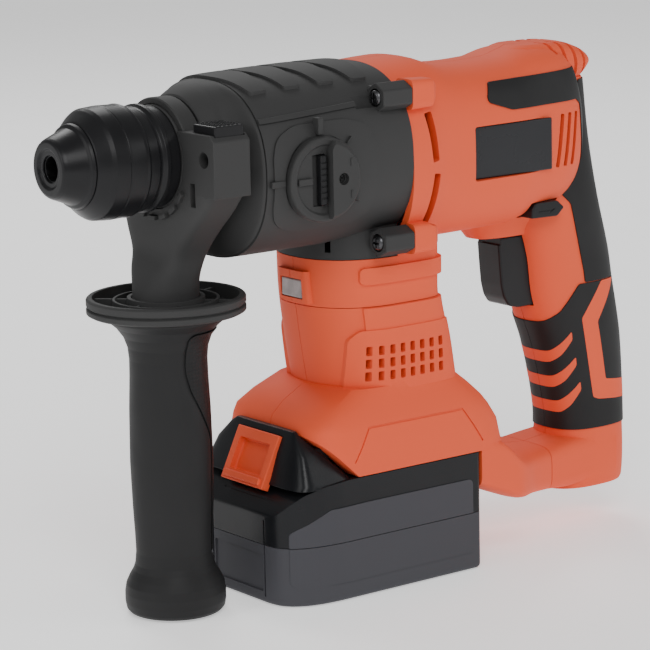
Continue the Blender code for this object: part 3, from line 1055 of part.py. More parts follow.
# ================================================================ battery
def make_battery():
    """Upper and lower case, welded cell pairs and the sliding release button."""
    front, rear = BATTERY_X
    width = BATTERY_HALF_WIDTH
    seam = BATTERY_SEAM_Z
    flat = [ring_z(z, front + round_off, rear - round_off, width - round_off, 7)
            for z, round_off in ((0, 3 * MM), (1.2 * MM, MM), (4 * MM, 0), (seam - GAP / 2, 0))]
    lower = loft("battery_lower_case", flat, GREY)
    room = (front + BATTERY_WALL, rear - BATTERY_WALL)
    side = width - BATTERY_WALL
    cut(lower, box("lower_room", room, (-side, side), (BATTERY_WALL, seam + MM), is_cutter=True))

    deck = BATTERY_DECK_Z
    flat = [ring_z(z, front + lean, rear - round_off, width - round_off, 7)
            for z, lean, round_off in ((seam + GAP / 2, 0, 0), (38 * MM, 0, 0), (deck - MM, 6 * MM, 0),
                                       (deck, 6.5 * MM, MM))]
    upper = loft("battery_upper_case", flat, GREY)
    nose = [ring_z(z, x, back, half, power) for z, x, back, half, power in (
        (deck - 2 * MM, front + 5.8 * MM, SHOULDER_REAR_X, width - MM, 7),
        (deck, front + 6.8 * MM, SHOULDER_REAR_X, width - 1.5 * MM, 7),
        (62 * MM, -32.8 * MM, -18.3 * MM, 31 * MM, 6),
        (SHOULDER_Z[1], -29.4 * MM, BATTERY_NOSE_X, 23 * MM, 6),
        (71.2 * MM, -28.2 * MM, BATTERY_NOSE_X, 20 * MM, 6))]
    rail_half = BATTERY_RAIL_HALF_WIDTH
    join(upper, loft("battery_nose", nose, is_cutter=True),
         box("battery_rails", (-30 * MM, rear - MM), (-rail_half, rail_half), (deck - MM, BATTERY_RAIL_Z),
             is_cutter=True))
    cut(upper, box("upper_room", room, (-side, side), (seam - MM, 41 * MM), is_cutter=True),
        box("board_room", (-20 * MM, rear - 2 * BATTERY_WALL), (-20 * MM, 20 * MM),
            (40 * MM, BATTERY_RAIL_Z - 2 * BATTERY_WALL), is_cutter=True))
    for side, word in ((-1, "left"), (1, "right")):
        span = sorted((side * (rail_half - 4 * MM), side * (rail_half + MM)))
        cut(upper, box(f"rail_groove_{word}", (-20 * MM, rear + MM), span, (deck + 4 * MM, deck + 8 * MM),
                       is_cutter=True))
    slide_down = Vector((-math.cos(RELEASE_SLOPE), 0, -math.sin(RELEASE_SLOPE)))
    into = Vector((math.sin(RELEASE_SLOPE), 0, -math.cos(RELEASE_SLOPE)))
    top = Vector(RELEASE_TOP)
    length = 23.5 * MM
    sunk, proud = 2 * MM, 2.2 * MM
    half = 14.5 * MM
    button = slab("release_button", top, slide_down, into, (0, length), (-proud, sunk), half, RED)
    add_bevel(button, 0.8 * MM)
    scoop = slab("button_scoop", top, slide_down, into, (5 * MM, length - 6 * MM), (-proud - MM, 1.6 * MM),
                 half - 4 * MM, RED, is_cutter=True)
    cut(button, scoop)
    cut(upper, slab("button_pocket_deck", top, slide_down, into, (-GAP, length + RELEASE_TRAVEL + GAP),
                    (-20 * MM, sunk + GAP), half + GAP, GREY, is_cutter=True))

    middle = (front + rear) / 2
    low_z = BATTERY_WALL + CELL_RADIUS + GAP
    high_z = low_z + CELL_PITCH
    for i in range(CELL_COLUMNS):
        x = middle + (i - (CELL_COLUMNS - 1) / 2) * CELL_PITCH
        y = CELL_LENGTH / 2
        pair = cylinder(f"cell_pair_{i + 1}", (x, -y, low_z), (x, y, low_z), CELL_RADIUS, CELL, sides=24)
        join(pair, cylinder(f"upper_cell_{i + 1}", (x, -y, high_z), (x, y, high_z), CELL_RADIUS,
                            is_cutter=True, sides=24),
             box(f"cell_strip_{i + 1}", (x - 3.5 * MM, x + 3.5 * MM), (-y - 0.4 * MM, -y + 0.4 * MM),
                 (low_z - 3 * MM, high_z + 3 * MM), is_cutter=True))


def slab(name, origin, along, into, along_span, into_span, half, mat, is_cutter=False):
    """A box laid out along a slope: along it, into it and half to each side in Y."""
    points = []
    for a, b in ((along_span[0], into_span[0]), (along_span[1], into_span[0]),
                 (along_span[1], into_span[1]), (along_span[0], into_span[1])):
        points.append(origin + along * a + into * b)
    return plate(name, [(p.x, p.z) for p in points], (-half, half), 'Y', mat, is_cutter)


# ================================================================ build
def origin_points():
    """Where the origin goes of each moving piece that isn't turned about its own axis."""
    on_chuck, on_motor = (0, 0, CHUCK_Z), (0, 0, MOTOR_Z)
    on_intermediate = (0, 0, INTERMEDIATE_Z)
    knob = (KNOB_CENTRE[0], KNOB_SEAT_Y, KNOB_CENTRE[1])
    trigger = (SWITCH_BAR_X[0], 0, (TRIGGER_TOP_Z + TRIGGER_BOTTOM_Z) / 2)
    battery = ((BATTERY_X[0] + BATTERY_X[1]) / 2, 0, 0)
    return {
        "spindle_gear": on_chuck, "locking_ball": on_chuck, "sleeve_spring": on_chuck,
        "intermediate_pinion": on_intermediate, "intermediate_gear": on_intermediate,
        "intermediate_shaft": on_intermediate, "motor_shaft": on_motor, "cooling_fan": on_motor,
        "mode_lock_slider": knob, "trigger": trigger, "direction_switch": (SWITCH_BAR_X[0], 0, SWITCH_BAR_Z),
        "depth_stop_button": (SIDE_X, DEPTH_HOLE[0], DEPTH_HOLE[1]),
        "battery_lower_case": battery, "battery_upper_case": battery,
        **{f"cell_pair_{i + 1}": battery for i in range(CELL_COLUMNS)},
        "release_button": RELEASE_TOP,
    }


def put_origin(obj, point):
    """Move an object's origin to a point without moving its shape."""
    shift = obj.matrix_world.inverted() @ Vector(point)
    obj.data.transform(Matrix.Translation(-shift))
    obj.matrix_world = obj.matrix_world @ Matrix.Translation(shift)


def main():
    make_drive()
    make_wobble()
    make_hammer()
    make_spindle()
    make_chuck()
    make_gearbox()
    make_mode_knob()
    make_motor()
    make_housings()
    make_controls()
    make_side_handle()
    make_battery()
    bpy.context.view_layer.update()
    for name, point in origin_points().items():
        put_origin(bpy.data.objects[name], point)
    for obj in PARTS.objects:
        obj.data.shade_smooth()
        obj.data.set_sharp_from_angle(angle=math.radians(35))


main()
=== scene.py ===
"""Cordless rotary hammer: the finished look of every piece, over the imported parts.

Sizes are in millimetres in the frame of the parts: +Z up, -X towards the chuck, -Y the tool's left side,
with the origin on the battery's flat base. A shape is scaled to metres when it becomes a piece.
"""
from __future__ import annotations

import logging
import math
from collections.abc import Callable, Iterable, Sequence
from dataclasses import dataclass, field, replace
from enum import Enum

import bmesh
import bpy
from mathutils import Matrix, Vector


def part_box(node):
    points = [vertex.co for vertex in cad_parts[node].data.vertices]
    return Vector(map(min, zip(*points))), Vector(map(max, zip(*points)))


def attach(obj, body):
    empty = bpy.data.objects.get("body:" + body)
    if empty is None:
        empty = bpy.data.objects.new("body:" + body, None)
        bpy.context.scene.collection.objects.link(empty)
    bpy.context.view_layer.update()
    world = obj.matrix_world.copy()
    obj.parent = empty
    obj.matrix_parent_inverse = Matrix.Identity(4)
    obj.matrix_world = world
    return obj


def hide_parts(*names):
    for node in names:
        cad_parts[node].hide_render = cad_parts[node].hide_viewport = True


LOG = logging.getLogger("rotary_hammer")
MM = 0.001

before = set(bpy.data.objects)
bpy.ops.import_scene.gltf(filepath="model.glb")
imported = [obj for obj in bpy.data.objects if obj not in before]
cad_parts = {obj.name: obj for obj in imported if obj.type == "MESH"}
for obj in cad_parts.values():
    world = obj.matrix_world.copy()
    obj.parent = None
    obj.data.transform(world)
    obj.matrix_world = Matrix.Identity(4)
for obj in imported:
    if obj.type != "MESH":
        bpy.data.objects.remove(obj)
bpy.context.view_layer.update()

Point2 = tuple[float, float]
Point3 = tuple[float, float, float]


class Axis(Enum):
    """The axis that a shape is lofted, turned or extruded along."""

    X = "X"
    Y = "Y"
    Z = "Z"

    def point(self, along: float, a: float, b: float) -> Vector:
        """A point from its place along the axis and its two places across it.

        Args:
            along: Place along the axis.
            a: Place across it, along Y, or along X where the axis is not X.
            b: Place across it, along Z, or along Y where the axis is Z.

        Returns:
            The point in the frame of the parts.
        """
        if self is Axis.X:
            return Vector((along, a, b))
        if self is Axis.Y:
            return Vector((a, along, b))
        return Vector((a, b, along))


class Side(Enum):
    """The two halves of the tool."""

    LEFT = -1
    RIGHT = 1

    @property
    def word(self) -> str:
        """The side's word in a piece's name."""
        return self.name.lower()

    def span(self, near: float, far: float) -> Point2:
        """The two ends in Y, lower one first, of a stretch on this side."""
        low, high = sorted((self.value * near, self.value * far))
        return low, high


class Cut(Enum):
    """How one solid acts on another."""

    TAKE = "DIFFERENCE"
    ADD = "UNION"
    KEEP = "INTERSECT"


# ================================================================ finishes
class Nodes:
    """A material's node tree, with short ways to add the nodes that the finishes share."""

    def __init__(self, name: str) -> None:
        """Starts an empty material with a Principled shader and Object coordinates."""
        self.material = bpy.data.materials.new(name)
        self.material.use_nodes = True
        self.tree = self.material.node_tree
        self.shader = self.tree.nodes["Principled BSDF"]
        self.place = self.tree.nodes.new("ShaderNodeTexCoord").outputs["Object"]

    def link(self, source: bpy.types.NodeSocket, target: bpy.types.NodeSocket) -> None:
        """Joins two sockets."""
        self.tree.links.new(source, target)

    def noise(self, scale: float, detail: float = 3.0, stretch: Point3 = (1, 1, 1)) -> bpy.types.NodeSocket:
        """Noise on Object coordinates.

        Args:
            scale: Features per metre.
            detail: Octaves of finer noise.
            stretch: Factors on the three coordinates.

        Returns:
            The noise's grey output.
        """
        mapping = self.tree.nodes.new("ShaderNodeMapping")
        mapping.inputs["Scale"].default_value = stretch
        self.link(self.place, mapping.inputs["Vector"])
        node = self.tree.nodes.new("ShaderNodeTexNoise")
        node.inputs["Scale"].default_value = scale
        node.inputs["Detail"].default_value = detail
        self.link(mapping.outputs["Vector"], node.inputs["Vector"])
        return node.outputs["Fac"]

    def spread(self, source: bpy.types.NodeSocket, low: float, high: float) -> bpy.types.NodeSocket:
        """Maps a grey value of 0.3 to 0.7 onto low to high."""
        node = self.tree.nodes.new("ShaderNodeMapRange")
        node.inputs["From Min"].default_value = 0.3
        node.inputs["From Max"].default_value = 0.7
        node.inputs["To Min"].default_value = low
        node.inputs["To Max"].default_value = high
        self.link(source, node.inputs["Value"])
        return node.outputs["Result"]

    def blend(self, factor: bpy.types.NodeSocket, low: Point3, high: Point3) -> bpy.types.NodeSocket:
        """Mixes two colours by a factor."""
        node = self.tree.nodes.new("ShaderNodeMix")
        node.data_type = 'RGBA'
        colours = [s for s in node.inputs if s.type == 'RGBA']
        colours[0].default_value = (*low, 1.0)
        colours[1].default_value = (*high, 1.0)
        self.link(factor, node.inputs["Factor"])
        return next(s for s in node.outputs if s.type == 'RGBA')

    def bump(self, height: bpy.types.NodeSocket, depth: float, below: bpy.types.NodeSocket | None = None,
             ) -> bpy.types.NodeSocket:
        """Raises the surface by a grey value.

        Args:
            height: The grey value.
            depth: Height in metres between 0 and 1.
            below: The normal of an earlier layer.

        Returns:
            The bumped normal.
        """
        node = self.tree.nodes.new("ShaderNodeBump")
        node.inputs["Strength"].default_value = 1.0
        node.inputs["Distance"].default_value = depth
        self.link(height, node.inputs["Height"])
        if below is not None:
            self.link(below, node.inputs["Normal"])
        return node.outputs["Normal"]

    def soft_edges(self, radius: float) -> bpy.types.NodeSocket:
        """A normal that rounds the sharp edges by a radius in metres."""
        node = self.tree.nodes.new("ShaderNodeBevel")
        node.samples = 4
        node.inputs["Radius"].default_value = radius
        return node.outputs["Normal"]


@dataclass(frozen=True)
class Plastic:
    """Moulded plastic or rubber: a fine spark-eroded grain, faint colour drift and finger-worn gloss."""

    name: str
    colour: Point3
    roughness: float
    grain: float = 2600.0
    grain_depth: float = 0.000012
    drift: float = 0.10
    edge: float = 0.00035
    coat: float = 0.0
    worn: float = 0.10
    sheen: float = 0.22
    glow: float = 0.0

    def make(self) -> bpy.types.Material:
        """Builds the material.

        Returns:
            The material.
        """
        nodes = Nodes(self.name)
        low = tuple(c * (1 - self.drift) for c in self.colour)
        high = tuple(min(1.0, c * (1 + self.drift)) for c in self.colour)
        cloud = nodes.noise(26.0, 4.0)
        nodes.link(nodes.blend(nodes.spread(cloud, 0.0, 1.0), low, high), nodes.shader.inputs["Base Color"])
        smudge = nodes.noise(60.0, 6.0, (1.0, 1.3, 0.7))
        nodes.link(nodes.spread(smudge, self.roughness - self.worn / 2, self.roughness + self.worn / 2),
                   nodes.shader.inputs["Roughness"])
        normal = nodes.soft_edges(self.edge)
        normal = nodes.bump(nodes.noise(self.grain, 2.0), self.grain_depth, normal)
        nodes.link(normal, nodes.shader.inputs["Normal"])
        nodes.shader.inputs["Specular IOR Level"].default_value = self.sheen
        nodes.shader.inputs["Emission Color"].default_value = (1.0, 1.0, 1.0, 1.0)
        nodes.shader.inputs["Emission Strength"].default_value = self.glow
        nodes.shader.inputs["Coat Weight"].default_value = self.coat
        nodes.shader.inputs["Coat Roughness"].default_value = 0.25
        return nodes.material


@dataclass(frozen=True)
class Dimpled:
    """Rubber moulded with a field of small dimples that hold the hand."""

    name: str
    colour: Point3
    roughness: float
    pitch: float = 0.0016
    depth: float = 0.00022

    def make(self) -> bpy.types.Material:
        """Builds the material.

        Returns:
            The material.
        """
        nodes = Nodes(self.name)
        cells = nodes.tree.nodes.new("ShaderNodeTexVoronoi")
        cells.feature = 'F1'
        cells.inputs["Scale"].default_value = 1 / self.pitch
        cells.inputs["Randomness"].default_value = 0.18
        nodes.link(nodes.place, cells.inputs["Vector"])
        shade = nodes.spread(nodes.noise(40.0, 4.0), 0.0, 1.0)
        darker = tuple(c * 0.82 for c in self.colour)
        nodes.link(nodes.blend(shade, darker, self.colour), nodes.shader.inputs["Base Color"])
        nodes.shader.inputs["Roughness"].default_value = self.roughness
        nodes.shader.inputs["Specular IOR Level"].default_value = 0.2
        normal = nodes.bump(cells.outputs["Distance"], self.depth, nodes.soft_edges(0.0003))
        nodes.link(normal, nodes.shader.inputs["Normal"])
        return nodes.material


@dataclass(frozen=True)
class Metal:
    """Machined or rolled metal with fine tool marks and oil-darkened patches."""

    name: str
    colour: Point3
    roughness: float
    marks: Point3 = (1.0, 1.0, 1.0)
    mark_depth: float = 0.000006

    def make(self) -> bpy.types.Material:
        """Builds the material.

        Returns:
            The material.
        """
        nodes = Nodes(self.name)
        dark = tuple(c * 0.72 for c in self.colour)
        stain = nodes.spread(nodes.noise(55.0, 5.0), 0.0, 1.0)
        nodes.link(nodes.blend(stain, dark, self.colour), nodes.shader.inputs["Base Color"])
        nodes.shader.inputs["Metallic"].default_value = 1.0
        lines = nodes.noise(900.0, 3.0, self.marks)
        nodes.link(nodes.spread(lines, self.roughness - 0.06, self.roughness + 0.08),
                   nodes.shader.inputs["Roughness"])
        nodes.link(nodes.bump(lines, self.mark_depth, nodes.soft_edges(0.00025)),
                   nodes.shader.inputs["Normal"])
        return nodes.material


@dataclass(frozen=True)
class Ribbed:
    """A part with fine even ridges along one axis, such as stacked sheets or wound wire."""

    name: str
    colour: Point3
    groove: Point3
    pitch: float
    axis: Axis
    metallic: float
    roughness: float
    depth: float = 0.0001

    def make(self) -> bpy.types.Material:
        """Builds the material.

        Returns:
            The material.
        """
        nodes = Nodes(self.name)
        wave = nodes.tree.nodes.new("ShaderNodeTexWave")
        wave.bands_direction = self.axis.value
        wave.inputs["Scale"].default_value = 0.314 / self.pitch
        wave.inputs["Distortion"].default_value = 0.4
        nodes.link(nodes.place, wave.inputs["Vector"])
        nodes.link(nodes.blend(wave.outputs["Fac"], self.groove, self.colour),
                   nodes.shader.inputs["Base Color"])
        nodes.shader.inputs["Metallic"].default_value = self.metallic
        nodes.link(nodes.spread(nodes.noise(80.0), self.roughness - 0.05, self.roughness + 0.05),
                   nodes.shader.inputs["Roughness"])
        nodes.link(nodes.bump(wave.outputs["Fac"], self.depth), nodes.shader.inputs["Normal"])
        return nodes.material


@dataclass(frozen=True)
class Lens:
    """Clear moulded plastic over a small lamp."""

    name: str

    def make(self) -> bpy.types.Material:
        """Builds the material.

        Returns:
            The material.
        """
        nodes = Nodes(self.name)
        milky = nodes.spread(nodes.noise(150.0, 3.0), 0.0, 1.0)
        nodes.link(nodes.blend(milky, (0.16, 0.12, 0.115), (0.34, 0.27, 0.26)),
                   nodes.shader.inputs["Base Color"])
        nodes.shader.inputs["Roughness"].default_value = 0.12
        nodes.shader.inputs["Coat Weight"].default_value = 0.35
        nodes.shader.inputs["Coat Roughness"].default_value = 0.05
        nodes.link(nodes.bump(nodes.noise(700.0, 2.0, (1, 1, 0.1)), 0.00003), nodes.shader.inputs["Normal"])
        return nodes.material


class Finish(Enum):
    """Every finish on the tool."""

    RED = Plastic("red_housing", (0.80, 0.036, 0.008), 0.36, worn=0.08, drift=0.04, sheen=0.26)
    RED_BUTTON = Plastic("red_button", (0.66, 0.022, 0.012), 0.32, coat=0.15, drift=0.05)
    NYLON = Plastic("black_nylon", (0.0105, 0.011, 0.012), 0.40, grain=1500.0, grain_depth=0.000035)
    SATIN = Plastic("satin_black", (0.011, 0.011, 0.012), 0.32, grain=3200.0, grain_depth=0.000008,
                    drift=0.14)
    RUBBER = Plastic("soft_rubber", (0.015, 0.015, 0.0155), 0.55, grain=1800.0, grain_depth=0.000025)
    CHUCK = Plastic("chuck_rubber", (0.009, 0.009, 0.010), 0.34, grain=2200.0, grain_depth=0.00001, worn=0.16)
    DIMPLES = Dimpled("dimpled_rubber", (0.014, 0.014, 0.0145), 0.52)
    PACK = Plastic("battery_plastic", (0.016, 0.016, 0.019), 0.36, grain=2400.0)
    PACK_DARK = Plastic("battery_dark", (0.009, 0.0095, 0.011), 0.32, grain=1300.0, grain_depth=0.00004)
    PLATE = Plastic("blank_plate", (0.013, 0.0135, 0.016), 0.28, grain=3400.0, coat=0.12)
    STEEL = Metal("ground_steel", (0.56, 0.56, 0.57), 0.28, (1.0, 0.15, 0.15))
    DARK_STEEL = Metal("blackened_steel", (0.10, 0.10, 0.105), 0.36)
    CAST = Metal("die_cast", (0.62, 0.62, 0.63), 0.48, mark_depth=0.00003)
    SPRING = Metal("spring_wire", (0.45, 0.45, 0.47), 0.25)
    WINDING = Ribbed("copper_winding", (0.75, 0.32, 0.14), (0.28, 0.09, 0.04), 0.0009, Axis.X, 0.9, 0.35)
    SHEETS = Ribbed("stacked_sheets", (0.42, 0.42, 0.44), (0.14, 0.14, 0.15), 0.0007, Axis.X, 1.0, 0.4)
    CELL = Ribbed("cell_wrap", (0.04, 0.15, 0.40), (0.03, 0.12, 0.34), 0.004, Axis.Y, 0.0, 0.35, 0.00001)
    LENS = Lens("lamp_lens")
    FLOOR = Plastic("pale_floor", (0.97, 0.97, 0.97), 0.62, grain=500.0, grain_depth=0.00001, drift=0.01,
                    glow=0.55)

    def material(self) -> bpy.types.Material:
        """The finish's material, made once.

        Returns:
            The material.
        """
        found = bpy.data.materials.get(self.value.name)
        return found or self.value.make()


# ================================================================ shapes
@dataclass(frozen=True)
class Section:
    """One cross-section of a soft-cornered body: an ellipse at power 2, squarer above it."""

    place: float
    low: Point2
    high: Point2
    power: float = 2.0
    front: float = 0.0

    def grown(self, by: float) -> Section:
        """The section made larger all round by an amount.

        Args:
            by: The amount, negative to draw it in.

        Returns:
            The new section.
        """
        return replace(self, low=(self.low[0] - by, self.low[1] - by),
                       high=(self.high[0] + by, self.high[1] + by))

    def values(self) -> list[float]:
        """The section's numbers, for blending."""
        return [self.place, *self.low, *self.high, self.power, self.front]


def across(place: float, half: float, low: float, high: float, power: float = 2.0) -> Section:
    """A section across X that is even about the middle plane."""
    return Section(place, (-half, low), (half, high), power)


def level(place: float, front: float, rear: float, half: float, power: float = 2.0,
          nose: float = 0.0) -> Section:
    """A level section that is even about the middle plane; its front can have a power of its own."""
    return Section(place, (front, -half), (rear, half), power, nose)


def softened(sections: Sequence[Section], spans: int) -> list[Section]:
    """More sections between the given ones, on smooth curves through them.

    Args:
        sections: Sections in order of place.
        spans: Steps between two neighbours.

    Returns:
        The finer list.
    """
    rows = [s.values() for s in sections]
    made = []
    for i in range(len(rows) - 1):
        p1, p2 = rows[i], rows[i + 1]
        p0 = rows[i - 1] if i else p1
        p3 = rows[i + 2] if i + 2 < len(rows) else p2
        width = p2[0] - p1[0]
        for step in range(spans):
            t = step / spans
            values = []
            for a, b, c, d in zip(p0, p1, p2, p3):
                lead = (c - a) / (p2[0] - p0[0]) * width
                tail = (d - b) / (p3[0] - p1[0]) * width
                values.append((2 * t**3 - 3 * t**2 + 1) * b + (t**3 - 2 * t**2 + t) * lead
                              + (3 * t**2 - 2 * t**3) * c + (t**3 - t**2) * tail)
            values[0] = p1[0] + width * t
            made.append(Section(values[0], (values[1], values[2]), (values[3], values[4]),
                                max(2.0, values[5]), values[6]))
    made.append(sections[-1])
    return made


def stretch_of(sections: Sequence[Section], low: float, high: float) -> list[Section]:
    """The stretch of a body between two places, with new sections at its ends."""
    def at(place: float) -> Section:
        for first, second in zip(sections, sections[1:]):
            if first.place <= place <= second.place:
                share = (place - first.place) / (second.place - first.place)
                v = [a + (b - a) * share for a, b in zip(first.values(), second.values())]
                return Section(place, (v[1], v[2]), (v[3], v[4]), v[5], v[6])
        raise ValueError("place outside the body")
    return [at(low), *[s for s in sections if low < s.place < high], at(high)]


class Shape:
    """A solid that bmesh operators build up, in millimetres."""

    def __init__(self) -> None:
        """Starts with nothing."""
        self.bm = bmesh.new()

    def loft(self, sections: Sequence[Section], axis: Axis, segments: int = 64) -> Shape:
        """Adds a closed skin through sections.

        Args:
            sections: Sections in order of place.
            axis: The axis they are set along.
            segments: Points round each section.

        Returns:
            The shape.
        """
        before = None
        first = None
        for section in sections:
            verts = bmesh.ops.create_circle(self.bm, cap_ends=False, radius=1.0, segments=segments)["verts"]
            edges = list({edge for vert in verts for edge in vert.link_edges})
            middle = [(a + b) / 2 for a, b in zip(section.low, section.high)]
            half = [(b - a) / 2 for a, b in zip(section.low, section.high)]
            for vert in verts:
                c, s = vert.co.x, vert.co.y
                share = 2 / (section.front if section.front and c < 0 else section.power)
                a = middle[0] + half[0] * math.copysign(abs(c) ** share, c)
                b = middle[1] + half[1] * math.copysign(abs(s) ** share, s)
                vert.co = axis.point(section.place, a, b)
            if before:
                bmesh.ops.bridge_loops(self.bm, edges=before + edges)
            first = first or edges
            before = edges
        for end in (first, before):
            bmesh.ops.contextual_create(self.bm, geom=end)
        return self.tidied()

    def turned(self, profile: Sequence[Point2], axis: Axis, centre: Point3, steps: int = 96,
               fillet: float = 0.0) -> Shape:
        """Adds a turned solid.

        Args:
            profile: Points (place along the axis, radius) that close on themselves or on the axis.
            axis: The axis it turns about.
            centre: A point on the axis.
            steps: Steps of the full turn.
            fillet: Rounding of the profile's corners.

        Returns:
            The shape.
        """
        centre_v = Vector(centre)
        verts = [self.bm.verts.new(axis.point(along, r, 0.0) if axis is not Axis.Z else Vector((r, 0.0,
                                                                                                along)))
                 for along, r in profile]
        closed = profile[0][1] > 0
        pairs = list(zip(verts, verts[1:])) + ([(verts[-1], verts[0])] if closed else [])
        edges = [self.bm.edges.new(pair) for pair in pairs]
        if fillet:
            corners = [v for v in verts if len(v.link_edges) == 2]
            bmesh.ops.bevel(self.bm, geom=corners, offset=fillet, segments=3, profile=0.5, affect='VERTICES',
                            clamp_overlap=True, material=-1)
            verts, edges = list(self.bm.verts), list(self.bm.edges)
        turn = {Axis.X: Vector((1, 0, 0)), Axis.Y: Vector((0, 1, 0)), Axis.Z: Vector((0, 0, 1))}[axis]
        bmesh.ops.spin(self.bm, geom=verts + edges, cent=(0, 0, 0), axis=turn, angle=2 * math.pi, steps=steps,
                       use_merge=True)
        bmesh.ops.translate(self.bm, verts=self.bm.verts, vec=centre_v)
        return self.tidied(0.002)

    def box(self, low: Point3, high: Point3, radius: float = 0.0, segments: int = 3) -> Shape:
        """Adds a box between two corners, its edges rounded by radius."""
        size = Vector(high) - Vector(low)
        middle = (Vector(high) + Vector(low)) / 2
        place = Matrix.Translation(middle) @ Matrix.Diagonal((*size, 1.0))
        made = bmesh.ops.create_cube(self.bm, size=1.0, matrix=place)["verts"]
        if radius:
            edges = list({edge for vert in made for edge in vert.link_edges})
            bmesh.ops.bevel(self.bm, geom=edges, offset=radius, segments=segments, profile=0.5,
                            affect='EDGES',
                            clamp_overlap=True, material=-1)
        return self

    def rod(self, start: Point3, end: Point3, radius: float, segments: int = 48,
            end_radius: float | None = None) -> Shape:
        """Adds a round bar between two points, or a cone where its end radius differs."""
        a, b = Vector(start), Vector(end)
        turn = (b - a).to_track_quat('Z', 'Y').to_matrix().to_4x4()
        bmesh.ops.create_cone(self.bm, cap_ends=True, segments=segments, radius1=radius,
                              radius2=radius if end_radius is None else end_radius, depth=(b - a).length,
                              matrix=Matrix.Translation((a + b) / 2) @ turn)
        return self

    def prism(self, outline: Sequence[Point2], span: Point2, axis: Axis, corner: float = 0.0,
              edge: float = 0.0, corner_steps: int = 4) -> Shape:
        """Adds a flat outline given thickness.

        Args:
            outline: Points across the axis.
            span: The two ends along the axis.
            axis: The axis of the thickness.
            corner: Rounding of the outline's corners.
            edge: Rounding of the two rims.
            corner_steps: Steps of a rounded corner.

        Returns:
            The shape.
        """
        verts = [self.bm.verts.new(axis.point(span[0], a, b)) for a, b in outline]
        face = self.bm.faces.new(verts)
        if corner:
            bmesh.ops.bevel(self.bm, geom=verts, offset=corner, segments=corner_steps, profile=0.5,
                            affect='VERTICES', clamp_overlap=True, material=-1)
            face = max(self.bm.faces, key=lambda f: f.calc_area())
        made = bmesh.ops.extrude_face_region(self.bm, geom=[face])["geom"]
        top = [v for v in made if isinstance(v, bmesh.types.BMVert)]
        bmesh.ops.translate(self.bm, verts=top, vec=axis.point(span[1] - span[0], 0.0, 0.0))
        bmesh.ops.recalc_face_normals(self.bm, faces=self.bm.faces)
        if edge:
            caps = [f for f in self.bm.faces if abs(abs(f.normal.dot(axis.point(1.0, 0.0, 0.0))) - 1) < 1e-4]
            rims = list({e for f in caps for e in f.edges})
            bmesh.ops.bevel(self.bm, geom=rims, offset=edge, segments=3, profile=0.5, affect='EDGES',
                            clamp_overlap=True, material=-1)
        return self

    def tidied(self, merge: float = 0.0) -> Shape:
        """Merges doubles where a distance is given, and turns every face outwards."""
        if merge:
            bmesh.ops.remove_doubles(self.bm, verts=self.bm.verts, dist=merge)
            bmesh.ops.dissolve_degenerate(self.bm, edges=self.bm.edges, dist=merge / 4)
        bmesh.ops.recalc_face_normals(self.bm, faces=self.bm.faces)
        return self

    def turned_by(self, angle: float, axis: Axis, centre: Point3) -> Shape:
        """Turns the whole shape about an axis through a point, by degrees."""
        turn = Matrix.Rotation(math.radians(angle), 3, axis.value)
        bmesh.ops.rotate(self.bm, verts=self.bm.verts, cent=Vector(centre), matrix=turn)
        return self

    def moved(self, by: Point3) -> Shape:
        """Moves the whole shape."""
        bmesh.ops.translate(self.bm, verts=self.bm.verts, vec=Vector(by))
        return self

    def mesh(self, name: str) -> bpy.types.Mesh:
        """The shape as a mesh in metres; the shape is spent.

        Args:
            name: The mesh's name.

        Returns:
            The mesh.
        """
        bmesh.ops.scale(self.bm, vec=(MM, MM, MM), verts=self.bm.verts)
        bmesh.ops.recalc_face_normals(self.bm, faces=self.bm.faces)
        mesh = bpy.data.meshes.new(name)
        self.bm.to_mesh(mesh)
        self.bm.free()
        return mesh


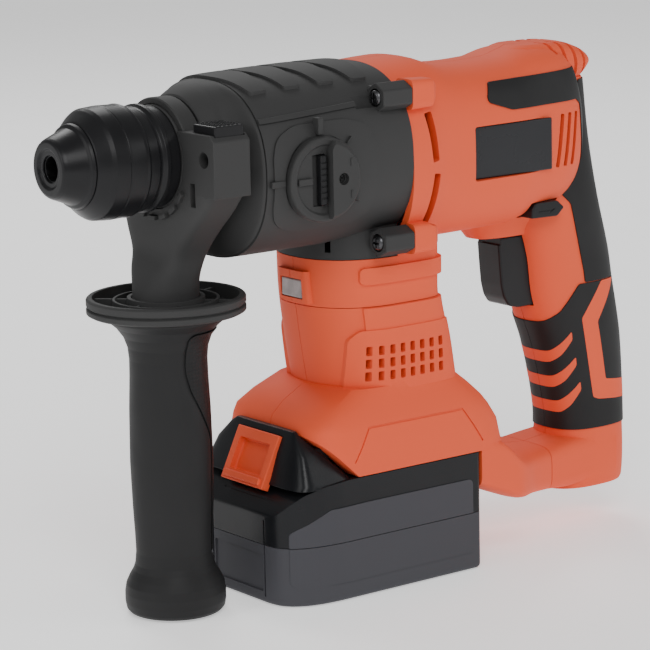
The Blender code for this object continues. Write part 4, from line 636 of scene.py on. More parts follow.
class Piece:
    """A solid that others are cut from or joined to, and that becomes one named piece of the tool."""

    def __init__(self, name: str, shape: Shape) -> None:
        """Makes the piece's object from its first shape."""
        self.obj = bpy.data.objects.new(name, shape.mesh(name))
        bpy.context.scene.collection.objects.link(self.obj)

    def work(self, how: Cut, *shapes: Shape) -> Piece:
        """Applies shapes to the piece one by one.

        Args:
            how: Whether they are taken away, added or kept.
            *shapes: The shapes, which are spent.

        Returns:
            The piece.
        """
        tools = []
        for shape in shapes:
            tool = bpy.data.objects.new("tool", shape.mesh("tool"))
            bpy.context.scene.collection.objects.link(tool)
            modifier = self.obj.modifiers.new("work", 'BOOLEAN')
            modifier.operation = how.value
            modifier.object = tool
            modifier.solver = 'MANIFOLD'
            tools.append(tool)
        self.settle()
        for tool in tools:
            spent = tool.data
            bpy.data.objects.remove(tool)
            bpy.data.meshes.remove(spent)
        return self

    def settle(self) -> Piece:
        """Turns the modifiers so far into the mesh itself."""
        bpy.context.view_layer.update()
        graph = bpy.context.evaluated_depsgraph_get()
        settled = bpy.data.meshes.new_from_object(self.obj.evaluated_get(graph))
        spent = self.obj.data
        self.obj.modifiers.clear()
        self.obj.data = settled
        bpy.data.meshes.remove(spent)
        settled.name = self.obj.name
        return self

    def copy(self, name: str) -> Piece:
        """A second piece with the same form."""
        twin = Piece.__new__(Piece)
        twin.obj = bpy.data.objects.new(name, self.obj.data.copy())
        bpy.context.scene.collection.objects.link(twin.obj)
        return twin

    def drop(self) -> None:
        """Removes the piece."""
        spent = self.obj.data
        bpy.data.objects.remove(self.obj)
        bpy.data.meshes.remove(spent)

    def dressed(self, finish: Finish, body: str, slot: str, stands_for: Iterable[str] = (),
                sharp: float = 32.0) -> bpy.types.Object:
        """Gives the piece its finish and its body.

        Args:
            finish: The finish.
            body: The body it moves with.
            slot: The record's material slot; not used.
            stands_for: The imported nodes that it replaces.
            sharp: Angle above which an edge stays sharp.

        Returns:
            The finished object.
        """
        mesh = self.obj.data
        mesh.materials.clear()
        mesh.materials.append(finish.material())
        mesh.shade_smooth()
        mesh.set_sharp_from_angle(angle=math.radians(sharp))
        normals = self.obj.modifiers.new("normals", 'WEIGHTED_NORMAL')
        normals.keep_sharp = True
        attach(self.obj, body)
        nodes = list(stands_for)
        if nodes:
            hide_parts(*nodes)
        LOG.info("%s: %d faces, on %s", self.obj.name, len(mesh.polygons), body)
        return self.obj


def half_space(side: Side, gap: float = 0.15) -> Shape:
    """A block that holds everything on one side of the middle plane, less half the seam."""
    low, high = side.span(gap, 120.0)
    return Shape().box((-200.0, low, -50.0), (300.0, high, 300.0))


def in_halves(whole: Piece, stem: str) -> dict[Side, Piece]:
    """Splits a piece in the middle plane.

    Args:
        whole: The whole form, which is spent.
        stem: The start of the halves' names.

    Returns:
        The two halves by side.
    """
    halves = {side: whole.copy(f"{stem}_{side.word}").work(Cut.KEEP, half_space(side)) for side in Side}
    whole.drop()
    return halves


# ================================================================ chuck
@dataclass
class Chuck:
    """The quick chuck: dust cap, pull-back sleeve and the ring behind it."""

    axis_z: float = 190.0
    nose_x: float = -129.0
    sleeve_front: float = -117.0
    sleeve_rear: float = -95.0
    sleeve_radius: float = 22.9
    ring_radius: float = 21.4
    bore: float = 9.6

    def build(self) -> None:
        """Builds and dresses the chuck's pieces."""
        centre = (0.0, 0.0, self.axis_z)
        front = self.nose_x
        cap = [(front + 1.0, 5.45), (front + 1.0, 7.4), (front, 8.2), (front, 10.6), (front + 0.5, 11.5),
               (front + 1.6, 12.2), (front + 9.6, 15.3), (front + 10.3, 16.6),
               (self.sleeve_front - 0.3, 17.2),
               (self.sleeve_front - 0.3, self.bore), (front + 1.9, self.bore), (front + 1.9, 5.45)]
        Piece("dust_cap_rubber", Shape().turned(cap, Axis.X, centre, fillet=0.28)).dressed(
            Finish.CHUCK, "spindle", "black_nylon", ["dust_cap"])
        a, b, r = self.sleeve_front, self.sleeve_rear, self.sleeve_radius
        hollow = self.ring_radius + 0.4
        sleeve = [(a, 16.9), (a + 0.4, 17.6), (a + 4.6, 21.4), (a + 6.2, r - 0.5), (a + 12.0, r - 0.05),
                  (a + 12.4, r - 0.3), (a + 12.9, r - 0.02), (b - 2.0, r - 0.25), (b - 1.0, r), (b, r - 0.4),
                  (b, hollow), (a + 8.0, hollow), (a + 8.0, 11.2), (a, 11.2)]
        Piece("chuck_sleeve_rubber", Shape().turned(sleeve, Axis.X, centre, steps=128, fillet=0.35)).dressed(
            Finish.CHUCK, "chuck_sleeve", "black_nylon", ["chuck_sleeve"])
        ring = [(-101.0, self.ring_radius), (-90.2, self.ring_radius), (-89.4, self.ring_radius - 0.7),
                (-88.4, self.ring_radius - 0.7), (-87.6, self.ring_radius), (-87.2, r - 1.0),
                (-85.4, r - 1.0),
                (-84.8, 20.8), (-80.3, 20.8), (-80.3, self.bore), (-85.2, self.bore), (-85.2, 18.6),
                (-101.0, 18.6)]
        Piece("chuck_ring", Shape().turned(ring, Axis.X, centre, steps=128, fillet=0.25)).dressed(
            Finish.SATIN, "spindle", "black_nylon", ["chuck_collar"])


# ================================================================ shared forms
CAP_ROWS = [level(204.0, 95.5, 143.0, 15.0, 3.5), level(207.5, 96.5, 146.8, 15.5, 3.5),
            level(211.0, 97.5, 148.7, 15.5, 3.5), level(215.3, 99.5, 144.5, 14.5, 3.5),
            level(218.6, 103.5, 137.0, 12.5, 3.5), level(219.8, 106.5, 132.5, 10.0, 3.5)]
LIP_ROWS = [level(136.3, 86.0, 130.0, 9.0, 3.0), level(140.0, 83.0, 130.0, 10.5, 3.0),
            level(145.0, 78.0, 130.0, 13.5, 3.0), level(150.0, 73.0, 130.0, 17.0, 3.0)]


def column_sections(low: float, high: float) -> list[Section]:
    """Sections of the column between two heights: a round front and a square back."""
    rows = ((83.0, -4.6, 57.0), (102.0, -7.8, 54.0), (120.3, -10.2, 50.0), (134.0, -11.0, 50.0),
            (165.0, -11.0, 50.0))
    whole = softened([level(z, front, rear, 29.5, 5.0, 2.3) for z, front, rear in rows], 4)
    return stretch_of(whole, low, high)


# ================================================================ gearbox
@dataclass
class Gearbox:
    """The black gearbox: nose, housing, barrel ribs, knob panel, lugs and screws."""

    axis_z: float = 190.0
    seam: float = -53.0
    rear: float = 21.35
    wall: float = 3.0
    knob_x: float = -27.2
    knob_z: float = 179.7
    ribs: int = 4
    rib_pitch: float = 17.0
    screw_places: tuple[Point2, ...] = ((-36.0, 208.8), (-36.0, 148.7), (36.0, 208.8), (36.0, 148.7))

    def sections(self, grow: float = 0.0) -> list[Section]:
        """Sections of the housing, which swells over the motor end."""
        rows = ((self.seam + 0.15, 41.0, 218.9), (-44.0, 42.0, 219.4), (-10.0, 42.0, 220.2),
                (self.rear, 41.5, 220.2))
        return [across(x, half, 146.0, top, 2.35).grown(grow) for x, half, top in rows]

    def build(self) -> None:
        """Builds and dresses the gearbox's pieces."""
        self.build_nose()
        self.build_housing()
        self.build_screws()

    def build_nose(self) -> None:
        """The flared nose with its clamping collar."""
        z = self.axis_z
        flare = [across(-69.3, 23.4, z - 23.4, z + 23.4), across(-68.6, 24.3, z - 24.3, z + 24.3),
                 across(-64.0, 27.0, z - 27.0, z + 27.0), across(-60.5, 28.4, z - 29.5, z + 28.2, 2.0),
                 across(-57.0, 34.0, z - 37.0, z + 28.6, 2.1), across(-54.4, 39.6, z - 42.4, z + 28.8, 2.3),
                 across(self.seam - 0.15, 40.6, z - 43.5, z + 28.8, 2.3)]
        nose = Piece("gearbox_nose_casting", Shape().loft(softened(flare, 4), Axis.X, 96))
        collar = [(-79.5, 0.0), (-79.5, 20.5), (-79.0, 21.0), (-68.0, 21.0), (-68.0, 0.0)]
        nose.work(Cut.ADD, Shape().turned(collar, Axis.X, (0, 0, z)))
        nose.work(Cut.TAKE, Shape().rod((-90, 0, z), (-60, 0, z), 18.1, 72),
                  Shape().loft([across(-61.0, 20.0, z - 18.0, z + 20.0),
                                across(-50.0, 37.0, z - 18.0, z + 26.0, 2.3)],
                               Axis.X, 48),
                  Shape().rod((-57, 0, z - 30), (-40, 0, z - 30), 4.8))
        nose.dressed(Finish.NYLON, "tool", "black_nylon", ["gearbox_nose"])

    def build_housing(self) -> None:
        """The swelling housing with its ribs, ridge, knob panel and lugs."""
        z = self.axis_z
        housing = Piece("gearbox_shell", Shape().loft(softened(self.sections(), 6), Axis.X, 96))
        skin = softened(self.sections(1.2), 4)
        for number in range(self.ribs):
            front = self.seam + 1.5 + number * self.rib_pitch
            outline = [(front - 2.0, 0.0), (front + 1.0, 18.0), (front + 2.4, 25.5), (front + 10.4, 25.5),
                       (front + 12.6, 12.0), (front + 14.4, 0.0), (front + 12.6, -12.0),
                       (front + 10.4, -25.5),
                       (front + 2.4, -25.5), (front + 1.0, -18.0)]
            rib = Piece("rib", Shape().loft(skin, Axis.X, 96))
            rib.work(Cut.KEEP, Shape().prism(outline, (195.0, 230.0), Axis.Z, corner=1.2))
            housing.work(Cut.ADD, shape_of(rib))
        for side in Side:
            ridge = [(self.seam + 0.2, 203.6), (self.rear, 207.8), (self.rear, 209.6),
                     (self.seam + 0.2, 205.4)]
            band = Piece("ridge", Shape().loft(softened(self.sections(0.8), 4), Axis.X, 96))
            band.work(Cut.KEEP, Shape().prism(ridge, side.span(20, 60), Axis.Y))
            housing.work(Cut.ADD, shape_of(band))
        panel = [(-50.0, 168.0), (-47.0, 162.0), (-38.0, 158.6), (-8.0, 158.6), (0.5, 163.0), (3.4, 175.0),
                 (2.6, 190.0), (-2.0, 199.5), (-12.0, 202.4), (-38.0, 202.0), (-47.0, 198.0), (-50.0, 191.0)]
        raised = Piece("panel", Shape().loft(softened(self.sections(0.7), 4), Axis.X, 96))
        raised.work(Cut.KEEP, Shape().prism(panel, (-60.0, -20.0), Axis.Y, corner=3.0))
        housing.work(Cut.ADD, shape_of(raised))
        for y, height in self.screw_places:
            inner = 1 if y < 0 else -1
            lug = Shape().prism([(y - 5.6, height - 3.2), (y, height - 6.2), (y + 5.6, height - 3.2),
                                 (y + 5.6, height + 3.2), (y, height + 6.2), (y - 5.6, height + 3.2)],
                                (6.0, self.rear - 0.05), Axis.X, corner=0.8, edge=0.5)
            arm = Shape().box((8.0, min(y, y + inner * 14), height - 4.2),
                              (self.rear - 0.1, max(y, y + inner * 14),
                              height + 4.2), 0.6)
            housing.work(Cut.ADD, lug, arm)
        saddle = Piece("saddle", Shape().loft(column_sections(140.8, z - 30.0), Axis.Z, 80))
        saddle.work(Cut.KEEP, Shape().box((-20.0, -40.0, 130.0), (self.rear, 40.0, z), 0.0))
        housing.work(Cut.ADD, shape_of(saddle))
        hollow = [s.grown(-self.wall) for s in (across(self.seam - 1, 41.0, 146.0, 218.9, 2.35),
                                                across(self.rear + 1, 41.5, 146.0, 220.2, 2.35))]
        housing.work(Cut.TAKE, Shape().loft(hollow, Axis.X, 64),
                     Shape().box((-7.0, -19.0, 143.8), (self.rear + 1, 19.0, z - 30.0)),
                     Shape().box((-8.4, -9.5, 143.8), (0.0, 9.5, z - 30.0)))
        for y, height in self.screw_places:
            housing.work(Cut.TAKE, Shape().rod((-4.0, y, height), (8.0, y, height), 3.8, 32),
                         Shape().rod((4.0, y, height), (24.0, y, height), 2.4, 24))
        x = self.knob_x
        housing.work(Cut.TAKE, Shape().rod((x, -41.0, self.knob_z), (x, -56.0, self.knob_z), 18.0, 72),
                     Shape().rod((x, -30.0, self.knob_z), (x, -45.0, self.knob_z), 6.3, 32))
        for tab in self.index_tabs():
            housing.work(Cut.ADD, tab)
        housing.dressed(Finish.NYLON, "tool", "black_nylon", ["gearbox_housing"])

    def index_tabs(self) -> list[Shape]:
        """Small raised marks beside the knob, above it and in front of it."""
        x, z = self.knob_x, self.knob_z
        made = []
        for angle in (90.0, 180.0, 45.0, -30.0):
            reach = 21.3 if angle in (90.0, 180.0) else 20.4
            size = (2.6, 3.4) if angle in (90.0, 180.0) else (0.5, 1.8)
            mark = Shape().box((x - size[1], -43.0, z - size[0] / 2), (x + size[1], -39.0, z + size[0] / 2),
                               0.3)
            mark.moved((reach, 0.0, 0.0)).turned_by(-angle, Axis.Y, (x, 0.0, z))
            made.append(mark)
        return made

    def build_screws(self) -> None:
        """The pan-head screws with their cross recesses."""
        for number, (y, height) in enumerate(self.screw_places, 1):
            head = [(5.0, 0.0), (5.0, 2.2), (5.5, 2.9), (6.2, 3.3), (8.4, 3.3), (8.4, 2.1), (20.0, 2.1),
                    (20.0, 0.0)]
            screw = Piece(f"gearbox_bolt_{number}", Shape().turned(head, Axis.X, (0, y, height), 40, 0.15))
            screw.work(Cut.TAKE, Shape().box((4.0, y - 2.1, height - 0.45), (6.3, y + 2.1, height + 0.45)),
                       Shape().box((4.0, y - 0.45, height - 2.1), (6.3, y + 0.45, height + 2.1)))
            screw.dressed(Finish.DARK_STEEL, "tool", "dark_steel", [f"gearbox_screw_{number}"])


def shape_of(piece: Piece) -> Shape:
    """Turns a piece back into a shape, in millimetres; the piece is spent."""
    shape = Shape()
    shape.bm.from_mesh(piece.obj.data)
    bmesh.ops.scale(shape.bm, vec=(1 / MM, 1 / MM, 1 / MM), verts=shape.bm.verts)
    piece.drop()
    return shape


# ================================================================ mode knob
@dataclass
class ModeKnob:
    """The mode knob: a dished disc with a half-round grip, a lock blade, a screw and pointer marks."""

    x: float = -27.2
    z: float = 179.7
    seat: float = -41.3
    radius: float = 17.3

    def build(self) -> None:
        """Builds and dresses the knob and its lock blade."""
        x, z, face = self.x, self.z, self.seat - 4.2
        disc = [(face + 0.9, 0.0), (face + 0.9, 13.6), (face, 14.4), (face, 16.2), (face + 0.4, 17.0),
                (face + 1.2, self.radius), (self.seat, self.radius), (self.seat, 6.0), (self.seat + 9.0, 6.0),
                (self.seat + 9.0, 0.0)]
        knob = Piece("mode_knob_body", Shape().turned(disc, Axis.Y, (x, 0, z), 96, 0.2))
        grip = Piece("grip", Shape().turned([(face - 3.4, 0.0), (face - 3.4, 14.6), (face - 2.2, 15.9),
                                             (face + 1.5, 16.1), (face + 1.5, 0.0)], Axis.Y, (x, 0, z), 96,
                                             0.3))
        side = [(x + 1.2, z - 17.0), (x + 18.0, z - 17.0), (x + 18.0, z + 17.0), (x + 5.0, z + 17.0),
                (x + 1.2, z + 12.6)]
        grip.work(Cut.KEEP, Shape().prism(side, (face - 12, face + 6), Axis.Y, corner=1.5))
        knob.work(Cut.ADD, shape_of(grip), Shape().rod((x, self.seat + 8, z + 3.2),
                                                       (x, self.seat + 12, z + 3.2), 2.0))
        knob.work(Cut.TAKE, Shape().box((x - 6.0, face - 5, z - 10.5), (x + 0.5, face + 2.4, z + 10.5), 0.6),
                  Shape().rod((x + 6.6, face - 6, z), (x + 6.6, face - 1.6, z), 2.5, 32),
                  Shape().rod((x + 6.6, face - 2, z), (x + 6.6, face - 0.6, z), 1.9, 32))
        knob.work(Cut.TAKE, Shape().box((x + 5.2, face - 3, z - 0.3), (x + 8.0, face - 0.1, z + 0.3)),
                  Shape().box((x + 6.3, face - 3, z - 1.4), (x + 6.9, face - 0.1, z + 1.4)))
        for dx, dz, long, tall in ((10.6, 6.5, 0.5, 1.6), (10.6, -6.5, 0.5, 1.6), (-10.0, 0.0, 3.4, 1.3)):
            knob.work(Cut.ADD, Shape().box((x + dx - long, face - (3.8 if dx > 0 else 0.3), z + dz - tall),
                                           (x + dx + long, face + 1.0, z + dz + tall), 0.25))
        knob.dressed(Finish.NYLON, "mode_knob", "black_nylon", ["mode_knob"])
        blade = Shape().box((x - 3.3, face - 1.3, z - 10.1), (x + 0.1, face + 2.1, z + 10.1), 0.7)
        lock = Piece("mode_lock_blade", blade)
        for step in range(-3, 4):
            lock.work(Cut.TAKE, Shape().box((x - 4, face - 2, z + step * 2.4 - 0.3), (x + 1, face - 0.95,
                                                                                      z + step * 2.4 + 0.3)))
        lock.dressed(Finish.SATIN, "mode_lock", "black_nylon", ["mode_lock_slider"])


# ================================================================ housings
@dataclass
class Housings:
    """The red upper and lower housings, split in the middle plane."""

    axis_z: float = 190.0
    motor_seam: float = 21.65
    rear: float = 168.5
    column_seam: float = 120.3
    bar_seam: float = 116.0
    wall: float = 3.0
    body_rows: list[Section] = field(default_factory=list)
    grip_rows: list[Section] = field(default_factory=list)

    def __post_init__(self) -> None:
        """Works out the sections that the shells and the rubber share."""
        z, r = self.axis_z, self.rear
        self.body_rows = softened([
            across(self.motor_seam, 41.3, z - 53.0, z + 30.2, 2.35),
            across(34.0, 39.5, z - 50.0, z + 30.8, 2.5),
            across(44.0, 36.0, z - 48.0, z + 30.6, 2.7), across(60.0, 33.0, z - 47.5, z + 25.8, 3.0),
            across(92.0, 31.0, z - 47.0, z + 25.8, 3.0), across(r - 64.0, 28.5, z - 45.0, z + 28.8, 3.0),
            across(r - 48.5, 25.8, z - 43.0, z + 29.4, 3.0), across(r - 38.5, 22.0, z - 40.0, z + 27.0, 2.8),
            across(r - 32.5, 17.5, z - 35.0, z + 18.0, 2.6), across(r - 28.5, 12.5, z - 28.0, z + 14.0, 2.4)],
            5)
        w = 17.0
        rows = ((17.6, 44.0, -1.2, 1.0), (19.2, 43.4, -0.4, 1.02), (30.0, 42.0, 0.0, 1.05),
                (45.0, 39.5, 0.0, 1.0),
                (59.0, 41.0, 0.0, 0.97), (84.0, 47.0, -1.5, 1.0), (z - 92, 52.5, -3.5, 1.0),
                (z - 80, 56.0, -6.0, 1.02),
                (z - 64, 58.0, -9.0, 1.04), (z - 40, 64.0, -15.5, 1.06), (z - 13, 60.0, -20.5, 0.95),
                (z + 14, 60.0, -24.0, 0.95))
        self.grip_rows = softened([level(h, r - front, r + back, w * share, 2.6) for h, front, back,
                                   share in rows], 4)

    def build(self) -> None:
        """Builds and dresses both housings."""
        self.build_upper()
        self.build_lower()

    def column(self, low: float, high: float, grow: float = 0.0) -> list[Section]:
        """Sections of the column between two heights."""
        return [s.grown(grow) for s in column_sections(low, high)]

    def upper_form(self) -> Piece:
        """The upper housing's outer form, with its raised features."""
        z = self.axis_z
        form = Piece("upper_form", Shape().loft(self.body_rows, Axis.X, 96))
        form.work(Cut.ADD, Shape().loft(self.column(self.column_seam + 0.15, z - 30.0), Axis.Z, 80),
                  Shape().loft(self.grip_rows, Axis.Z, 80),
                  Shape().loft(softened(CAP_ROWS, 5), Axis.Z, 64),
                  Shape().loft(softened(LIP_ROWS, 4), Axis.Z, 48),
                  Shape().loft(softened([across(self.bar_seam + 0.15, 19.0, 19.4, 40.0, 4.5),
                                         across(self.bar_seam + 14, 18.0, 18.5, 41.5, 5.0),
                                         across(self.rear - 12, 17.5, 17.8, 44.0, 4.0)], 4), Axis.X, 64))
        for y, height in Gearbox().screw_places:
            boss = [across(self.motor_seam, 5.8, height - 6.4, height + 6.4, 5.0),
                    across(33.0, 5.4, height - 6.0, height + 6.0, 5.0),
                    across(36.0, 3.0, height - 4.0, height + 4.0, 4.0)]
            form.work(Cut.ADD, Shape().loft(boss, Axis.X, 32).moved((0.0, y * 0.985, 0.0)))
        shoulder = Piece("shoulder", Shape().loft(self.column(self.column_seam + 0.15, z - 40.0, 1.3), Axis.Z,
                                                  80))
        shoulder.work(Cut.KEEP, Shape().box((3.0, -60.0, 130.0), (54.0, 60.0, 137.0), 2.0))
        form.work(Cut.ADD, shape_of(shoulder))
        lamp = [level(self.column_seam + 1.2, -12.0, 0.0, 10.6, 6.0), level(135.2, -12.9, 0.0, 9.8, 6.0)]
        form.work(Cut.ADD, Shape().loft(lamp, Axis.Z, 40))
        return form

    def build_upper(self) -> None:
        """Motor housing, D-handle and the top of the column."""
        z, r = self.axis_z, self.rear
        form = self.upper_form()
        room = [s.grown(0.3) for s in Gearbox().sections()]
        room = [replace(room[1], place=-30.0), replace(room[-1], place=self.motor_seam)]
        form.work(Cut.TAKE, Shape().loft(room, Axis.X, 96),
                  Shape().box((-20.0, -50.0, 140.5), (self.motor_seam, 50.0, z)))
        inside = [s.grown(-self.wall) for s in self.body_rows]
        fan = [replace(inside[0], place=self.motor_seam - 1), replace(inside[8], place=37.5)]
        form.work(Cut.TAKE, Shape().loft(fan, Axis.X, 64), Shape().rod((36, 0, z - 11), (85, 0, z - 11), 25.3,
                                                                       72),
                  Shape().rod((36, 0, z - 11), (97, 0, z - 11), 8.3, 48),
                  Shape().box((24, -22, self.column_seam - 1), (46, 22, z - 11)),
                  Shape().box((r - 40, -11.5, 100.5), (r - 14, 11.5, 137)),
                  Shape().box((r - 76, -7.9, 103.2), (r - 39, 7.9, 136.5)),
                  Shape().box((100.7, -40, 145.2), (120.3, 40, 152.8), 0.8),
                  Shape().loft(stretch_of([s.grown(-5.5) for s in self.grip_rows], 26.0, 136.0), Axis.Z, 48),
                  Shape().loft(stretch_of(inside, 101.0, 134.0), Axis.X, 48),
                  Shape().box((-20, -7.3, 123.2), (-6.0, 7.3, 131.8)))
        for side in Side:
            self.cut_side(form, side)
        halves = in_halves(form, "upper_shell")
        for side, half in halves.items():
            half.dressed(Finish.RED, "tool", "red_housing", [f"upper_housing_{side.word}"])

    def cut_side(self, form: Piece, side: Side) -> None:
        """Air slots, name plate recess and top slots on one side of the upper housing."""
        z, r = self.axis_z, self.rear
        span = side.span(18.0, 60.0)
        for x0, x1, low, high in ((32.0, 36.0, 179.6, 200.4), (32.6, 36.8, 153.2, 174.8)):
            slot = Shape().box((x0, span[0], low), (x1 + 0.3, span[1], high), 0.7)
            form.work(Cut.TAKE, slot.turned_by(-8.0 if low > 170 else 9.0, Axis.Y,
                                               (34.0, 0.0, (low + high) / 2)))
        for number in range(3):
            x = r - 54.5 + number * 5.4
            slot = Shape().box((x, span[0], z - 22.4), (x + 2.5, span[1], z + 1.0), 0.6)
            form.work(Cut.TAKE, slot.turned_by(8.0, Axis.Y, (x, 0.0, z - 11)))
        outer = side.span(28.3, 60.0)
        form.work(Cut.TAKE, Shape().box((62.0, outer[0], z - 22.5), (108.0, outer[1], z + 0.7), 1.2))
        for number in range(4):
            x = 117.0 + number * 6.2
            ends = side.span(5.0, 17.5)
            slot = Shape().box((x, ends[0], 205.0), (x + 1.9, ends[1], 226.0), 0.6)
            slot.turned_by(-16.0 * side.value, Axis.Z, (x, 0.0, 0.0))
            deep = Piece("slot", slot)
            deep.work(Cut.TAKE, Shape().loft([s.grown(-1.6) for s in self.body_rows], Axis.X, 64))
            form.work(Cut.TAKE, shape_of(deep))

    def lower_form(self) -> Piece:
        """The lower housing's outer form: column, foot and the front of the bar."""
        form = Piece("lower_form", Shape().loft(self.column(83.0, self.column_seam - 0.15), Axis.Z, 80))
        foot = [level(52.0, -25.3, 77.0, 38.0, 8.0), level(64.0, -25.3, 75.0, 37.8, 7.0),
                level(70.5, -25.3, 72.0, 36.9, 6.0), level(74.5, -24.0, 69.0, 35.6, 6.0),
                level(80.0, -17.8, 64.5, 33.0, 5.0), level(86.0, -6.8, 58.5, 30.0, 4.0)]
        bar = [across(59.6, 37.5, 34.5, 60.0, 8.0), across(74.0, 37.5, 28.6, 54.0, 7.0),
               across(85.5, 36.0, 24.0, 45.0, 5.5), across(101.0, 25.5, 21.3, 41.5, 5.0),
               across(self.bar_seam - 0.15, 19.0, 19.4, 40.0, 4.5)]
        form.work(Cut.ADD, Shape().loft(foot, Axis.Z, 96), Shape().loft(softened(bar, 4), Axis.X, 80))
        pad = Piece("pad", Shape().loft(self.column(83.0, self.column_seam - 0.15, 1.5), Axis.Z, 80))
        outline = [(-1.0, 84.0), (-1.0, 106.5), (3.0, 110.5), (50.0, 110.5), (55.5, 107.0), (60.0, 84.0)]
        pad.work(Cut.KEEP, Shape().prism(outline, (-60.0, 60.0), Axis.Y, corner=1.5))
        form.work(Cut.ADD, shape_of(pad))
        for side in Side:
            rail = Piece("rail", Shape().loft(self.column(83.0, self.column_seam - 0.15, 1.0), Axis.Z, 80))
            rail.work(Cut.KEEP, Shape().prism([(6.0, 108.0), (4.5, 119.9), (52.0, 119.9), (53.0, 108.0)],
                                              side.span(15, 60), Axis.Y))
            form.work(Cut.ADD, shape_of(rail))
        return form

    def build_lower(self) -> None:
        """Lower column, battery foot and the front part of the bar."""
        form = self.lower_form()
        form.work(Cut.TAKE, Shape().box((-26.5, -28.3, 50.5), (59.3, 28.3, 64.8)),
                  Shape().box((-27.5, -40.0, 20.0), (59.3, 40.0, 51.8)),
                  Shape().prism([(-27.0, 69.5), (-25.3, 69.5), (-7.2, 51.8), (-7.2, 45.0), (-27.0, 45.0)],
                                (-40.0, 40.0), Axis.Y),
                  Shape().box((5.0, -25.5, 63.8), (47.0, 25.5, 86.0)),
                  Shape().loft(self.column(85.0, 122.0, -4.0), Axis.Z, 64))
        for side in Side:
            for column in range(8):
                for row in range(3):
                    x, z = 5.6 + column * 5.2, 88.6 + row * 5.5
                    low, high = side.span(20.0, 50.0)
                    form.work(Cut.TAKE, Shape().box((x, low, z), (x + 2.5, high, z + 4.0), 0.35, 1))
            line = Piece("line", Shape().loft([s.grown(0.01) for s in
                                               (level(52.0, -25.3, 77.0, 38.3, 8.0),
                                                level(64.0, -25.3, 75.0, 38.1, 7.0),
                                                level(72.5, -25.3, 71.0, 36.9, 6.0))], Axis.Z, 96))
            frame_line = [(-9.5, 58.0), (-1.0, 72.0), (50.0, 72.0), (60.5, 56.5), (59.6, 56.2), (49.6, 71.2),
                          (-0.6, 71.2), (-8.7, 58.0)]
            line.work(Cut.KEEP, Shape().prism(frame_line, side.span(30, 60), Axis.Y))
            line.work(Cut.TAKE, Shape().loft([level(51.0, -24.8, 76.5, 37.4, 8.0),
                                              level(64.0, -24.8, 74.5, 37.2, 7.0),
                                              level(73.5, -24.8, 70.5, 35.8, 6.0)], Axis.Z, 96))
            form.work(Cut.TAKE, shape_of(line))
        halves = in_halves(form, "lower_shell")
        for side, half in halves.items():
            half.dressed(Finish.RED, "tool", "red_housing", [f"lower_housing_{side.word}"])


